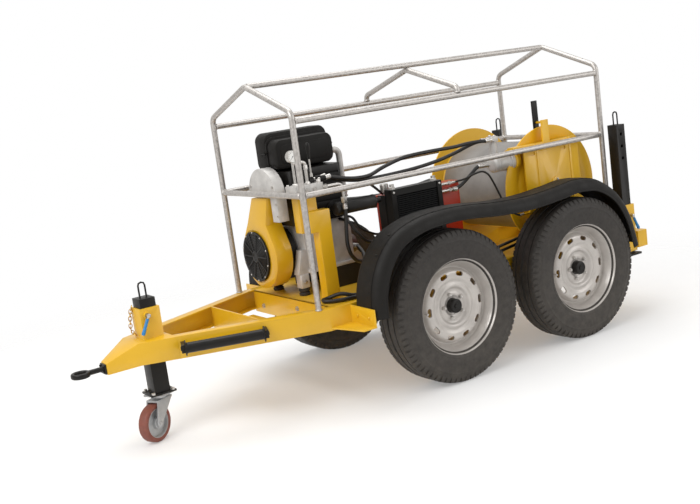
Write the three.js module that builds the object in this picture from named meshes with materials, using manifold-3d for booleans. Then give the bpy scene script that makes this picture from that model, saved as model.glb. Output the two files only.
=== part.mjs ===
// Towed cable pulling machine: tandem axle chassis, diesel power unit, hydraulic winch drum,
// tubular cage, jockey leg with castor and two rear stabiliser legs.
// Millimetres, +X to the rear, -Y to the near side, +Z up. Ground is z = 0.
// Stations along X are counted from the middle of the wheelbase and shifted at the end.
import * as THREE from 'three';
import Module from 'manifold-3d';
import { mergeVertices } from 'three/addons/utils/BufferGeometryUtils.js';

const wasm = await Module();
wasm.setup();

// Driving sizes
const clearance = 0.3;
const overrun = 4;
const mergeDistance = 0.001;
const weld = 2;
const sheet = 6;
const wheelBase = 807;
const tyreRadius = 349.5;
const tyreGap = 16;
const tyreWidth = 180;
const chassisTop = 455;
const beamHeight = 97;
const beamWidth = 50;
const beamWall = 6;
const chassisHalfWidth = 395;
const noseX = -1868;
const noseHalfWidth = 33;
const foldX = -980;
const cageTube = 27;
const cageInset = 25.5;
const frontHoopX = -1014;
const midHoopX = -104;
const rearHoopX = 835;
const midRailZ = 956;
const topRailZ = 1275;
const bendZ = 1314;
const ridgeZ = 1443;

// Derived stations
const chassisBottom = chassisTop - beamHeight;
const frontAxleX = -wheelBase / 2;
const rearAxleX = wheelBase / 2;
const tyreOuterY = chassisHalfWidth + tyreGap + tyreWidth;
const wheelY = tyreOuterY - tyreWidth / 2;
const cageHalfWidth = chassisHalfWidth - cageInset;
const beamInnerY = chassisHalfWidth - beamWidth;
const cageRadius = cageTube / 2;
const diagonalSlope = (chassisHalfWidth - noseHalfWidth) / (foldX - noseX);
const diagonalStretch = Math.hypot(1, diagonalSlope);
const diagonalY = (x) => noseHalfWidth + (x - noseX) * diagonalSlope;
const diagonalInnerY = (x) => diagonalY(x) - beamWidth * diagonalStretch;

const axisX = new THREE.Vector3(1, 0, 0);
const axisY = new THREE.Vector3(0, 1, 0);
const axisZ = new THREE.Vector3(0, 0, 1);

const looks = {
  yellow: [0xe8b008, 0.42, 0.1],
  galvanised: [0xb9bcbd, 0.45, 0.85],
  black: [0x1c1b1b, 0.6, 0.1],
  rubber: [0x232323, 0.85, 0],
  white: [0xd9d9d6, 0.45, 0.3],
  silver: [0xc4c6c8, 0.35, 0.8],
  grey: [0x9d9fa1, 0.5, 0.5],
  drumGrey: [0x8f9091, 0.5, 0.4],
  red: [0xc23a16, 0.45, 0.1],
  blue: [0x1c5f9e, 0.5, 0],
  brown: [0x7c3426, 0.6, 0],
};

// Geometry helpers
function clean(geometry) {
  const bare = geometry.clone();
  bare.deleteAttribute('normal');
  bare.deleteAttribute('uv');
  const merged = mergeVertices(bare, mergeDistance);
  const index = merged.index.array;
  const kept = [];
  for (let i = 0; i < index.length; i += 3) {
    const [a, b, c] = [index[i], index[i + 1], index[i + 2]];
    if (a !== b && b !== c && a !== c) kept.push(a, b, c);
  }
  return outward(merged.getAttribute('position').array, kept);
}

function outward(positions, index) {
  const corner = (i) => new THREE.Vector3().fromArray(positions, i * 3);
  let volume = 0;
  for (let i = 0; i < index.length; i += 3) {
    volume += corner(index[i]).dot(corner(index[i + 1]).cross(corner(index[i + 2])));
  }
  const turned = index.slice();
  if (volume < 0) {
    for (let i = 0; i < index.length; i += 3) [turned[i], turned[i + 1]] = [index[i + 1], index[i]];
  }
  const geometry = new THREE.BufferGeometry();
  geometry.setAttribute('position', new THREE.Float32BufferAttribute(positions, 3));
  geometry.setIndex(turned);
  return geometry;
}

function toSolid(geometry) {
  const ready = clean(geometry);
  return new wasm.Manifold(new wasm.Mesh({
    numProp: 3,
    vertProperties: Float32Array.from(ready.getAttribute('position').array),
    triVerts: Uint32Array.from(ready.index.array),
  }));
}

function fromSolid(solid) {
  const mesh = solid.getMesh();
  const geometry = new THREE.BufferGeometry();
  geometry.setAttribute('position', new THREE.Float32BufferAttribute(mesh.vertProperties, 3));
  geometry.setIndex(Array.from(mesh.triVerts));
  return geometry;
}

function join(...pieces) {
  return fromSolid(pieces.map(toSolid).reduce((all, next) => all.add(next)));
}

function cut(body, ...tools) {
  return fromSolid(tools.map(toSolid).reduce((left, tool) => left.subtract(tool), toSolid(body)));
}

function common(a, b) {
  return fromSolid(toSolid(a).intersect(toSolid(b)));
}

function outline(points) {
  if (points instanceof THREE.Shape) return points;
  return new THREE.Shape(points.map(([a, b]) => new THREE.Vector2(a, b)));
}

function extrude(points, depth, curveSegments = 6) {
  return new THREE.ExtrudeGeometry(outline(points), { depth, bevelEnabled: false, curveSegments });
}

// Outline in X and Y, raised from z0 to z1
function planPrism(points, z0, z1, curveSegments) {
  return extrude(points, z1 - z0, curveSegments).translate(0, 0, z0);
}

// Outline in X and Z, drawn from y0 to y1
function sidePrism(points, y0, y1, curveSegments) {
  return extrude(points, y1 - y0, curveSegments).rotateX(Math.PI / 2).translate(0, y1, 0);
}

// Outline in Y and Z, drawn from x0 to x1
function frontPrism(points, x0, x1, curveSegments) {
  const turn = new THREE.Matrix4().makeBasis(axisY, axisZ, axisX);
  return extrude(points, x1 - x0, curveSegments).applyMatrix4(turn).translate(x0, 0, 0);
}

function block(x0, x1, y0, y1, z0, z1) {
  const box = new THREE.BoxGeometry(x1 - x0, y1 - y0, z1 - z0);
  return box.translate((x0 + x1) / 2, (y0 + y1) / 2, (z0 + z1) / 2);
}

function roundedRect(a0, a1, b0, b1, r) {
  const shape = new THREE.Shape();
  shape.moveTo(a0 + r, b0);
  shape.lineTo(a1 - r, b0);
  shape.absarc(a1 - r, b0 + r, r, -Math.PI / 2, 0);
  shape.lineTo(a1, b1 - r);
  shape.absarc(a1 - r, b1 - r, r, 0, Math.PI / 2);
  shape.lineTo(a0 + r, b1);
  shape.absarc(a0 + r, b1 - r, r, Math.PI / 2, Math.PI);
  shape.lineTo(a0, b0 + r);
  shape.absarc(a0 + r, b0 + r, r, Math.PI, Math.PI * 1.5);
  return shape;
}

function rod(radius, from, to, sides = 16) {
  const a = new THREE.Vector3(...from);
  const b = new THREE.Vector3(...to);
  const along = b.clone().sub(a);
  const geometry = new THREE.CylinderGeometry(radius, radius, along.length(), sides);
  const spin = new THREE.Quaternion().setFromUnitVectors(axisY, along.clone().normalize());
  const middle = a.add(b).multiplyScalar(0.5);
  return geometry.applyQuaternion(spin).translate(middle.x, middle.y, middle.z);
}

// Profile of [radius, y] pairs turned about the Y axis
function turned(profile, sides) {
  return new THREE.LatheGeometry(profile.map(([r, y]) => new THREE.Vector2(r, y)), sides);
}

// Corner radius of a faceted bore that clears a round pin
function roundBore(radius, sides) {
  return (radius + clearance) / Math.cos(Math.PI / sides);
}

// A run of straights and bends whose points are used as they stand
class BentRun extends THREE.Curve {
  constructor(points) {
    super();
    this.points = points;
  }

  getPoint(t) {
    const place = t * (this.points.length - 1);
    const i = Math.min(Math.floor(place), this.points.length - 2);
    return this.points[i].clone().lerp(this.points[i + 1], place - i);
  }

  getPointAt(u) {
    return this.getPoint(u);
  }

  getTangentAt(u) {
    const i = Math.round(u * (this.points.length - 1));
    const before = this.points[Math.max(i - 1, 0)];
    const after = this.points[Math.min(i + 1, this.points.length - 1)];
    return after.clone().sub(before).normalize();
  }
}

function bentPoints(corners, bend, steps) {
  const at = corners.map((p) => new THREE.Vector3(...p));
  const points = [at[0]];
  for (let i = 1; i < at.length - 1; i += 1) {
    const back = at[i - 1].clone().sub(at[i]).normalize();
    const on = at[i + 1].clone().sub(at[i]).normalize();
    const half = back.angleTo(on) / 2;
    const reach = bend / Math.tan(half);
    const start = at[i].clone().addScaledVector(back, reach);
    const end = at[i].clone().addScaledVector(on, reach);
    const curve = new THREE.QuadraticBezierCurve3(start, at[i], end);
    points.push(...curve.getPoints(steps));
  }
  points.push(at[at.length - 1]);
  return points;
}

function tube(corners, radius, { bend = radius * 3, steps = 3, sides = 10 } = {}) {
  const points = bentPoints(corners, bend, steps);
  const ring = Array.from({ length: sides }, (_, i) => {
    const angle = (i * 2 * Math.PI) / sides;
    return [radius * Math.cos(angle), radius * Math.sin(angle)];
  });
  const extrudePath = new BentRun(points);
  const options = { steps: points.length - 1, bevelEnabled: false, extrudePath };
  return new THREE.ExtrudeGeometry(outline(ring), options);
}

function mirrored(geometry) {
  return clean(geometry.clone().scale(1, -1, 1));
}

const machine = new THREE.Group();
machine.name = 'cable_pulling_machine';

function add(name, geometry, look) {
  const [color, roughness, metalness] = looks[look];
  const material = new THREE.MeshStandardMaterial({ color, roughness, metalness });
  const mesh = new THREE.Mesh(clean(geometry), material);
  mesh.name = name;
  machine.add(mesh);
  return mesh;
}

// Drawbar nose: a folded wedge between the two diagonal beams, with the jockey sleeve
const nose = { tipLow: 344, tipHigh: 392, breakX: -1737, endX: -1585, plate: 8 };
const leg = { x: -1648, sizeX: 71, sizeY: 79, wall: 5, top: 590, bottom: 200, run: 1 };
const sleeve = { wall: 9, top: 585 };
const sleeveHalfX = leg.sizeX / 2 + leg.run + sleeve.wall;
const sleeveHalfY = leg.sizeY / 2 + leg.run + sleeve.wall;
const clamp = { x: leg.x - 18, z: 556, radius: 9, bossRadius: 15, bossLength: 12 };
const clampBore = clamp.radius + clearance;

function legHole(z0, z1) {
  const halfX = leg.sizeX / 2 + leg.run;
  const halfY = leg.sizeY / 2 + leg.run;
  return block(leg.x - halfX, leg.x + halfX, -halfY, halfY, z0, z1);
}

function drawbarNose() {
  const end = nose.endX;
  const plan = [[noseX, -noseHalfWidth], [end, -diagonalY(end)], [end, diagonalY(end)],
    [noseX, noseHalfWidth]];
  const profile = [[noseX, nose.tipLow], [nose.breakX, chassisBottom], [end, chassisBottom],
    [end, chassisTop], [nose.breakX, chassisTop], [noseX, nose.tipHigh]];
  const wide = chassisHalfWidth;
  const wedge = common(planPrism(plan, nose.tipLow, chassisTop), sidePrism(profile, -wide, wide));
  const t = nose.plate;
  const roomHalf = (x) => diagonalY(x) - t * diagonalStretch;
  const room = [[nose.breakX, -roomHalf(nose.breakX)], [end + overrun, -roomHalf(end + overrun)],
    [end + overrun, roomHalf(end + overrun)], [nose.breakX, roomHalf(nose.breakX)]];
  const hollow = cut(wedge, planPrism(room, chassisBottom + t, chassisTop - t));
  const tower = block(leg.x - sleeveHalfX, leg.x + sleeveHalfX, -sleeveHalfY, sleeveHalfY,
    chassisBottom, sleeve.top);
  const bossFace = -sleeveHalfY - clamp.bossLength;
  const boss = rod(clamp.bossRadius, [clamp.x, bossFace, clamp.z], [clamp.x, -sleeveHalfY + t, clamp.z]);
  const bore = rod(clampBore, [clamp.x, bossFace - overrun, clamp.z], [clamp.x, 0, clamp.z]);
  return cut(join(hollow, tower, boss), legHole(chassisBottom - overrun, sleeve.top + overrun), bore);
}

// Diagonal and straight beams: channels whose webs face outwards
function channelRoom(points) {
  return planPrism(points, chassisBottom + beamWall, chassisTop - beamWall);
}

const roller = { x0: -1564, x1: -1251, z: 415, offset: 62, radius: 22.5, flangeRadius: 34,
  flange: 6, pin: 9, ear: 8, earHalf: 16 };
const rollerPinSides = 8;
const rollerAngle = Math.atan(diagonalSlope);
const rollerPoint = (x, away) => [x - away * Math.sin(rollerAngle),
  diagonalY(x) + away * Math.cos(rollerAngle)];

function rollerEar(x, direction) {
  const step = direction * (roller.flange + roller.ear);
  const rise = roller.earHalf;
  const from = rollerPoint(x, -beamWall / 2);
  const to = rollerPoint(x, roller.offset + rise);
  const along = [Math.cos(rollerAngle) * step, Math.sin(rollerAngle) * step];
  const gap = [Math.cos(rollerAngle) * direction * clearance, Math.sin(rollerAngle) * direction * clearance];
  const plan = [[from[0] + gap[0], from[1] + gap[1]], [to[0] + gap[0], to[1] + gap[1]],
    [to[0] + along[0], to[1] + along[1]], [from[0] + along[0], from[1] + along[1]]];
  return planPrism(plan, roller.z - rise, roller.z + rise);
}

function rollerPin(radius) {
  const span = roller.flange + roller.ear + overrun;
  const dx = Math.cos(rollerAngle) * span;
  const dy = Math.sin(rollerAngle) * span;
  const a = rollerPoint(roller.x0, roller.offset);
  const b = rollerPoint(roller.x1, roller.offset);
  return rod(radius, [a[0] - dx, a[1] - dy, roller.z], [b[0] + dx, b[1] + dy, roller.z],
    rollerPinSides);
}

function diagonalBeam(withRoller) {
  const start = nose.endX;
  const end = foldX + weld;
  const outer = [[start, diagonalY(start)], [foldX, chassisHalfWidth], [end, chassisHalfWidth],
    [end, beamInnerY], [foldX, beamInnerY], [foldX, diagonalInnerY(foldX)],
    [start, diagonalInnerY(start)]];
  const web = (x) => diagonalY(x) - beamWall * diagonalStretch;
  const deep = (x) => diagonalInnerY(x) - overrun;
  const s = start - overrun;
  const f = end + overrun;
  const room = channelRoom([[s, web(s)], [f, web(f)], [f, deep(f)], [s, deep(s)]]);
  const beam = cut(planPrism(outer, chassisBottom, chassisTop), room);
  if (!withRoller) return beam;
  const ears = [rollerEar(roller.x0, -1), rollerEar(roller.x1, 1)];
  return cut(join(beam, ...ears), rollerPin(roundBore(roller.pin, rollerPinSides)));
}

function guideRoller() {
  const along = (x, step) => {
    const [px, py] = rollerPoint(x, roller.offset);
    return [px + Math.cos(rollerAngle) * step, py + Math.sin(rollerAngle) * step, roller.z];
  };
  const t = roller.flange;
  const body = rod(roller.radius, along(roller.x0, 0), along(roller.x1, 0), 14);
  const front = rod(roller.flangeRadius, along(roller.x0, 0), along(roller.x0, t), 14);
  const back = rod(roller.flangeRadius, along(roller.x1, -t), along(roller.x1, 0), 14);
  return join(body, front, back, rollerPin(roller.pin));
}

// Sizes of the stabiliser legs, which the rear of the chassis follows
const stabOffset = 49;
const stab = { x: 865, y: chassisHalfWidth + stabOffset, size: 60, wall: 5, run: 1, sleeveWall: 10,
  sleeveTop: 580,
  sleeveLow: 330, top: 1000, foot: 318, footPlate: 8, footSize: 110, z: 524, boss: 12, bossRadius: 14,
  pin: 8, hole: 9, holeStart: 950, holePitch: 62, holes: 3 };
const stabOuter = stab.size / 2 + stab.run + stab.sleeveWall;

// Sizes of the fenders, which the brackets and the moulded channels share
const fender = { frontX: -862, rearX: stab.x - stabOuter - clearance, low: 400, crown: 795, offset: 8,
  width: 185, skirt: 58, wall: 5, corner: 24, steps: 15 };

// Straight beams carry the fender bracket, a folded plate with a gusset below it
const rearBeamOver = 105;
const rearBeam = { x0: stab.x + stabOuter - stab.sleeveWall / 2, x1: 971,
  halfWidth: chassisHalfWidth + rearBeamOver, low: 345, high: 432, wall: 6 };
const bracket = { x0: -930, x1: fender.frontX - clearance, inset: 16, low: 366, thick: 6, chamfer: 45,
  rise: 80, bolt: 7, boltHead: 5, boltInShare: 0.3, boltOutShare: 0.75 };
const bracketReach = tyreOuterY - bracket.inset;

function fenderBracket() {
  const y0 = chassisHalfWidth - beamWall / 2;
  const shelf = planPrism([[bracket.x0 - bracket.chamfer, y0], [bracket.x1, y0],
    [bracket.x1, bracketReach], [bracket.x0, bracketReach]],
  bracket.low, bracket.low + bracket.thick);
  const wall = frontPrism([[y0, bracket.low], [bracketReach, bracket.low],
    [bracketReach, bracket.low + bracket.rise], [y0, chassisTop - bracket.thick]],
  bracket.x1 - bracket.thick, bracket.x1);
  const bolts = [bracket.boltInShare, bracket.boltOutShare].map((share) => {
    const y = y0 + share * (bracketReach - y0);
    const z = bracket.low + bracket.rise / 2;
    const x = bracket.x1 - bracket.thick;
    return rod(bracket.bolt, [x + bracket.thick / 2, y, z], [x - bracket.boltHead, y, z], 6);
  });
  return join(shelf, wall, ...bolts);
}

function straightBeam() {
  const outer = block(foldX, rearBeam.x0, beamInnerY, chassisHalfWidth, chassisBottom, chassisTop);
  const room = block(foldX - overrun, rearBeam.x0 + overrun, beamInnerY - overrun,
    chassisHalfWidth - beamWall, chassisBottom + beamWall, chassisTop - beamWall);
  return join(cut(outer, room), fenderBracket());
}

function chassisBeam(withRoller) {
  return join(diagonalBeam(withRoller), straightBeam());
}

// Deck: one folded sheet, front flange, engine floor, step and belly under the drum
const deck = { frontX: -1120, stepX: 112, bolt: 8, boltHead: 5, boltX: -1090, boltY: 60 };
const deckHalfWidth = beamInnerY - clearance;

function deckSheet() {
  const low = chassisBottom;
  const profile = [[deck.frontX, low], [deck.frontX, chassisTop], [deck.stepX, chassisTop],
    [deck.stepX, low + sheet], [rearBeam.x0 - clearance, low + sheet],
    [rearBeam.x0 - clearance, low], [deck.stepX - sheet, low], [deck.stepX - sheet, chassisTop - sheet],
    [deck.frontX + sheet, chassisTop - sheet], [deck.frontX + sheet, low]];
  const side = (x) => diagonalInnerY(x) - clearance;
  const plan = [[deck.frontX - overrun, -side(deck.frontX - overrun)], [foldX, -side(foldX)],
    [foldX, -deckHalfWidth], [rearBeam.x0, -deckHalfWidth], [rearBeam.x0, deckHalfWidth],
    [foldX, deckHalfWidth], [foldX, side(foldX)], [deck.frontX - overrun, side(deck.frontX - overrun)]];
  const trim = planPrism(plan, low - overrun, chassisTop + overrun);
  const folded = common(sidePrism(profile, -chassisHalfWidth, chassisHalfWidth), trim);
  const bolts = [-1, 1].map((s) => rod(deck.bolt, [deck.boltX, s * deck.boltY, chassisTop - sheet / 2],
    [deck.boltX, s * deck.boltY, chassisTop + deck.boltHead], 6));
  return join(folded, ...bolts);
}

// Rear cross beam with the two stabiliser sleeves
function stabiliserSleeve(side) {
  const inner = stab.size / 2 + stab.run;
  const y = side * stab.y;
  const outer = block(stab.x - stabOuter, stab.x + stabOuter, y - stabOuter, y + stabOuter,
    stab.sleeveLow, stab.sleeveTop);
  const face = y + side * stabOuter;
  const boss = rod(stab.bossRadius, [stab.x, face - side * stab.sleeveWall / 2, stab.z],
    [stab.x, face + side * stab.boss, stab.z]);
  const room = block(stab.x - inner, stab.x + inner, y - inner, y + inner,
    stab.sleeveLow - overrun, stab.sleeveTop + overrun);
  const bore = rod(stab.pin + clearance, [stab.x, y, stab.z],
    [stab.x, face + side * (stab.boss + overrun), stab.z]);
  return { solid: join(outer, boss), room, bore };
}

function rearCrossBeam() {
  const { x0, x1, halfWidth, low, high, wall } = rearBeam;
  const outer = block(x0, x1, -halfWidth, halfWidth, low, high);
  const room = block(x0 + wall, x1 - wall, -halfWidth - overrun, halfWidth + overrun,
    low + wall, high - wall);
  const sleeves = [-1, 1].map(stabiliserSleeve);
  const beam = join(cut(outer, room), ...sleeves.map((s) => s.solid));
  return cut(beam, ...sleeves.flatMap((s) => [s.room, s.bore]));
}

// Drawbar eye, a forged ring on a shank with its end plate
const eye = { x: -1972, z: 368, ring: 41, bore: 24, thick: 22, shank: 11, plateX: 8, plateY: 27,
  plateZ: 21 };

function towEye() {
  const ring = rod(eye.ring, [eye.x, 0, eye.z - eye.thick / 2], [eye.x, 0, eye.z + eye.thick / 2], 20);
  const bore = rod(eye.bore, [eye.x, 0, eye.z - eye.thick], [eye.x, 0, eye.z + eye.thick], 16);
  const plateX = noseX - clearance;
  const shank = rod(eye.shank, [eye.x + eye.bore + eye.shank / 2, 0, eye.z],
    [plateX - eye.plateX / 2, 0, eye.z], 10);
  const plate = block(plateX - eye.plateX, plateX, -eye.plateY, eye.plateY,
    eye.z - eye.plateZ, eye.z + eye.plateZ);
  return join(cut(ring, bore), shank, plate);
}

// Axles: cross tube below the chassis, trailing arms, brake drums and wheel stubs
const axle = { back: 118, tube: 60, wall: 5, arm: 12, armTip: 46, drum: 104, drumGap: 19, drumOut: 5,
  stub: 32, stubOut: 40 };

function axleAssembly(x) {
  const tubeX = x + axle.back;
  const half = axle.tube / 2;
  const top = chassisBottom;
  const middle = top - half;
  const beam = block(tubeX - half, tubeX + half, -chassisHalfWidth, chassisHalfWidth, top - axle.tube, top);
  const pieces = [beam];
  for (const side of [-1, 1]) {
    const inner = side * (chassisHalfWidth + clearance);
    const armOuter = inner + side * axle.arm;
    const [y0, y1] = [Math.min(inner, armOuter), Math.max(inner, armOuter)];
    const armShape = new THREE.Shape();
    armShape.moveTo(tubeX + half, middle - half);
    armShape.lineTo(tubeX + half, top - clearance);
    armShape.lineTo(x, tyreRadius + axle.armTip);
    armShape.absarc(x, tyreRadius, axle.armTip, Math.PI / 2, Math.PI * 1.5);
    pieces.push(sidePrism(armShape, y0, y1, 3));
    const root = side * (chassisHalfWidth - axle.wall);
    pieces.push(block(tubeX - half, tubeX + half, Math.min(root, armOuter), Math.max(root, armOuter),
      top - axle.tube, top - clearance));
    const hub = (y) => [x, y, tyreRadius];
    pieces.push(rod(axle.stub, hub(inner + side * axle.wall), hub(side * (wheelY + axle.stubOut)), 10));
    const drumIn = hub(side * (chassisHalfWidth + axle.drumGap));
    pieces.push(rod(axle.drum, drumIn, hub(side * (wheelY + axle.drumOut)), 12));
  }
  return join(...pieces);
}

const wheelSides = 20;
const flatRadius = (radius, sides) => radius / Math.cos(Math.PI / sides);

// Road wheel: pressed steel rim with vent slots, tyre with grooves round the tread
const rim = { flange: 220.5, seat: 205, well: 178, wall: 5, halfWidth: 78, discOut: 42, hubOut: 20,
  bolt: 78, bore: 32, slots: 10, slotRadius: 142, slotHalfLong: 17, slotHalfWide: 10 };
const tread = { grooveWide: 9, grooveDeep: 8, crownHalf: 74, shoulder: 14, side: 62 };

function rimProfile() {
  const { flange, seat, well, wall, halfWidth: w, discOut, hubOut, bolt } = rim;
  const bore = roundBore(rim.bore, wheelSides);
  const inside = well - wall;
  return [[bore, hubOut], [bolt, hubOut], [bolt + 3 * wall, discOut], [inside - 2 * wall, discOut - wall],
    [flange - wall, w], [flange, w], [seat, w - 3 * wall], [well, hubOut], [well, -discOut],
    [flange, -w], [inside - wall, -discOut], [inside - wall, discOut - 4 * wall],
    [bolt + 4 * wall, discOut - 2 * wall], [bore, hubOut - 2 * wall], [bore, hubOut]];
}

function ventSlot(angle) {
  const shape = new THREE.Shape();
  shape.absellipse(0, 0, rim.slotHalfLong, rim.slotHalfWide, 0, Math.PI * 2);
  const slot = extrude(shape, rim.discOut * 2, 2).translate(0, rim.slotRadius, 0);
  return slot.rotateX(-Math.PI / 2).rotateY(angle);
}

function roadRim() {
  const slots = Array.from({ length: rim.slots }, (_, i) => ventSlot((i * 2 * Math.PI) / rim.slots));
  return cut(turned(rimProfile(), wheelSides), ...slots);
}

function tyreProfile() {
  const seat = rim.seat + clearance;
  const lip = rim.flange + clearance;
  const w = rim.halfWidth - 3 * rim.wall;
  const half = tyreWidth / 2;
  const sideR = (lip + tyreRadius) / 2;
  const crown = flatRadius(tyreRadius, wheelSides);
  const profile = [[seat, w - clearance], [seat, clearance - w], [lip, clearance - rim.halfWidth],
    [sideR, -half], [crown - tread.shoulder, -half], [crown, -tread.crownHalf]];
  for (const place of [-1, 0, 1]) {
    const y = (place * tread.crownHalf) / 2;
    const wide = tread.grooveWide / 2;
    profile.push([crown, y - wide], [crown - tread.grooveDeep, y], [crown, y + wide]);
  }
  profile.push([crown, tread.crownHalf], [crown - tread.shoulder, half], [sideR, half],
    [lip, rim.halfWidth - clearance], [seat, w - clearance]);
  return profile;
}

function placeWheel(geometry, x, side) {
  const turnedOut = geometry.clone().rotateY(Math.PI / wheelSides);
  if (side < 0) turnedOut.rotateZ(Math.PI);
  return turnedOut.translate(x, side * wheelY, tyreRadius);
}

// Jockey leg: square tube with capped top and lifting bail, flange plate at the foot
const bail = { wire: 4, half: 15, rise: 66, sink: 3 };
const cap = { height: 34, lip: 4 };
const flange = { sizeX: 118, sizeY: 104, thick: 8, bolt: 6, head: 6, inset: 14 };

function liftingBail(x, y, z, half) {
  const low = z - bail.sink;
  const high = z + bail.rise;
  return tube([[x - half, y, low], [x - half, y, high], [x + half, y, high], [x + half, y, low]],
    bail.wire, { bend: half, steps: 2, sides: 6 });
}

function jockeyLeg() {
  const halfX = leg.sizeX / 2;
  const halfY = leg.sizeY / 2;
  const top = leg.top + cap.height;
  const tubeBody = block(leg.x - halfX, leg.x + halfX, -halfY, halfY, leg.bottom, top);
  const room = block(leg.x - halfX + leg.wall, leg.x + halfX - leg.wall, leg.wall - halfY, halfY - leg.wall,
    leg.bottom + flange.thick, leg.top);
  const vent = rod(clamp.radius, [leg.x, 0, leg.bottom - overrun],
    [leg.x, 0, leg.bottom + flange.thick * 2]);
  const foot = block(leg.x - flange.sizeX / 2, leg.x + flange.sizeX / 2, -flange.sizeY / 2, flange.sizeY / 2,
    leg.bottom, leg.bottom + flange.thick);
  const bolts = [];
  for (const sx of [-1, 1]) {
    for (const sy of [-1, 1]) {
      const x = leg.x + sx * (flange.sizeX / 2 - flange.inset);
      const y = sy * (flange.sizeY / 2 - flange.inset / 2);
      const z = leg.bottom + flange.thick;
      bolts.push(rod(flange.bolt, [x, y, z - flange.thick / 2], [x, y, z + flange.head], 6));
    }
  }
  const hoop = liftingBail(leg.x, 0, top, bail.half);
  return cut(join(tubeBody, foot, ...bolts, hoop), room, vent);
}

// Castor under the jockey leg, resting half turned towards the near side
const castor = { top: leg.bottom - clearance, plate: 8, plateHalf: 50, race: 30, raceHeight: 16, radius: 83,
  width: 46, hub: 26, trail: 62, restTurn: 0.47, forkGap: 4, forkWall: 6, forkWide: 38,
  forkTip: 19, axle: 8 };
const castorSides = 16;
const castorWheelX = leg.x - castor.trail * Math.cos(castor.restTurn);
const castorWheelY = -castor.trail * Math.sin(castor.restTurn);

function placeCastor(geometry) {
  return geometry.rotateZ(castor.restTurn).translate(leg.x, 0, 0);
}

function castorFork() {
  const plateLow = castor.top - castor.plate;
  const raceLow = plateLow - castor.raceHeight;
  const plate = block(-castor.plateHalf, castor.plateHalf, -castor.plateHalf, castor.plateHalf,
    plateLow, castor.top);
  const race = rod(castor.race, [0, 0, raceLow], [0, 0, castor.top - castor.plate / 2], 14);
  const inner = castor.width / 2 + castor.forkGap;
  const outer = inner + castor.forkWall;
  const crown = block(-castor.forkWide - castor.forkTip, castor.forkWide, -outer, outer,
    raceLow - castor.forkWall, raceLow + castor.forkWall / 2);
  const cheek = new THREE.Shape();
  cheek.moveTo(castor.forkWide, raceLow);
  cheek.lineTo(-castor.forkWide - castor.forkTip, raceLow);
  cheek.lineTo(-castor.trail - castor.forkTip, castor.radius);
  cheek.absarc(-castor.trail, castor.radius, castor.forkTip, Math.PI, Math.PI * 2);
  const cheeks = [sidePrism(cheek, -outer, -inner, 3), sidePrism(cheek, inner, outer, 3)];
  const pin = rod(castor.axle, [-castor.trail, -outer - castor.forkWall, castor.radius],
    [-castor.trail, outer + castor.forkWall, castor.radius], 12);
  return placeCastor(join(race, plate, crown, ...cheeks, pin));
}

function castorWheel() {
  const half = castor.width / 2;
  const hub = half + castor.forkGap - clearance;
  const bore = roundBore(castor.axle, castorSides);
  const r = flatRadius(castor.radius, castorSides);
  const web = castor.forkWall / 2;
  const tyreIn = r - 3 * castor.forkWall;
  const profile = [[bore, -hub], [castor.hub, -hub], [castor.hub, -web * 2], [tyreIn, -web * 2],
    [tyreIn, -half], [r - web, -half], [r, -half + 2 * web], [r, half - 2 * web], [r - web, half],
    [tyreIn, half],
    [tyreIn, web * 2], [castor.hub, web * 2], [castor.hub, hub], [bore, hub], [bore, -hub]];
  const tread = turned(profile, castorSides).rotateY(Math.PI / castorSides);
  return placeCastor(tread.translate(-castor.trail, 0, castor.radius));
}

// Clamp screw with drop handle, for the jockey sleeve and the stabiliser sleeves
const handle = { length: 86, radius: 7, lean: 0.46, neck: 10 };

function clampHandle(x, tipY, outY, z, radius, side, lean) {
  const headY = outY + side * handle.neck;
  const screw = rod(radius, [x, tipY, z], [x, headY + side * handle.radius, z], 14);
  const end = [x - handle.length * Math.sin(lean), headY, z - handle.length * Math.cos(lean)];
  return join(screw, rod(handle.radius, [x, headY, z], end, 12));
}

// Stabiliser legs: square tubes with pin holes, foot pads and lifting bails
function stabiliserLeg(side) {
  const half = stab.size / 2;
  const y = side * stab.y;
  const body = block(stab.x - half, stab.x + half, y - half, y + half, stab.foot, stab.top);
  const room = block(stab.x - half + stab.wall, stab.x + half - stab.wall, y - half + stab.wall,
    y + half - stab.wall, stab.foot + stab.wall, stab.top - stab.wall);
  const padHalf = stab.footSize / 2;
  const pad = block(stab.x - padHalf, stab.x + padHalf, y - padHalf, y + padHalf,
    stab.foot - stab.footPlate, stab.foot + stab.wall / 2);
  const holes = Array.from({ length: stab.holes }, (_, i) => {
    const z = stab.holeStart - i * stab.holePitch;
    return rod(stab.hole, [stab.x, y - stab.size, z], [stab.x, y + stab.size, z], 8);
  });
  return cut(join(body, pad, liftingBail(stab.x, y, stab.top, bail.half)), room, ...holes);
}

// Fenders: one long moulded channel over both wheels of a side
const fenderPathShares = [[0, 0], [0.007, 0.304], [0.037, 0.608], [0.093, 0.848], [0.174, 0.97],
  [0.263, 1], [0.346, 0.987], [0.454, 0.937], [0.573, 0.919], [0.68, 0.949], [0.763, 0.98],
  [0.846, 0.924], [0.924, 0.709], [0.974, 0.38], [1, -0.02]];

function fenderSection() {
  const half = fender.width / 2;
  const turn = (h, r, base) => {
    return [[-h, fender.skirt], [-h, base + r], [r - h, base], [h - r, base], [h, base + r],
      [h, fender.skirt]];
  };
  const outer = turn(half, fender.corner, 0);
  const inner = turn(half - fender.wall, fender.corner - fender.wall, fender.wall);
  return outline([...outer, ...inner.reverse()]);
}

function fenderChannel(side) {
  const y = side * (chassisHalfWidth + fender.offset + fender.width / 2);
  const path = fenderPathShares.map(([a, b]) => new THREE.Vector3(
    fender.frontX + a * (fender.rearX - fender.frontX), y, fender.low + b * (fender.crown - fender.low)));
  const extrudePath = new THREE.CatmullRomCurve3(path);
  const options = { steps: fender.steps, bevelEnabled: false, extrudePath };
  return new THREE.ExtrudeGeometry(fenderSection(), options);
}

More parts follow.
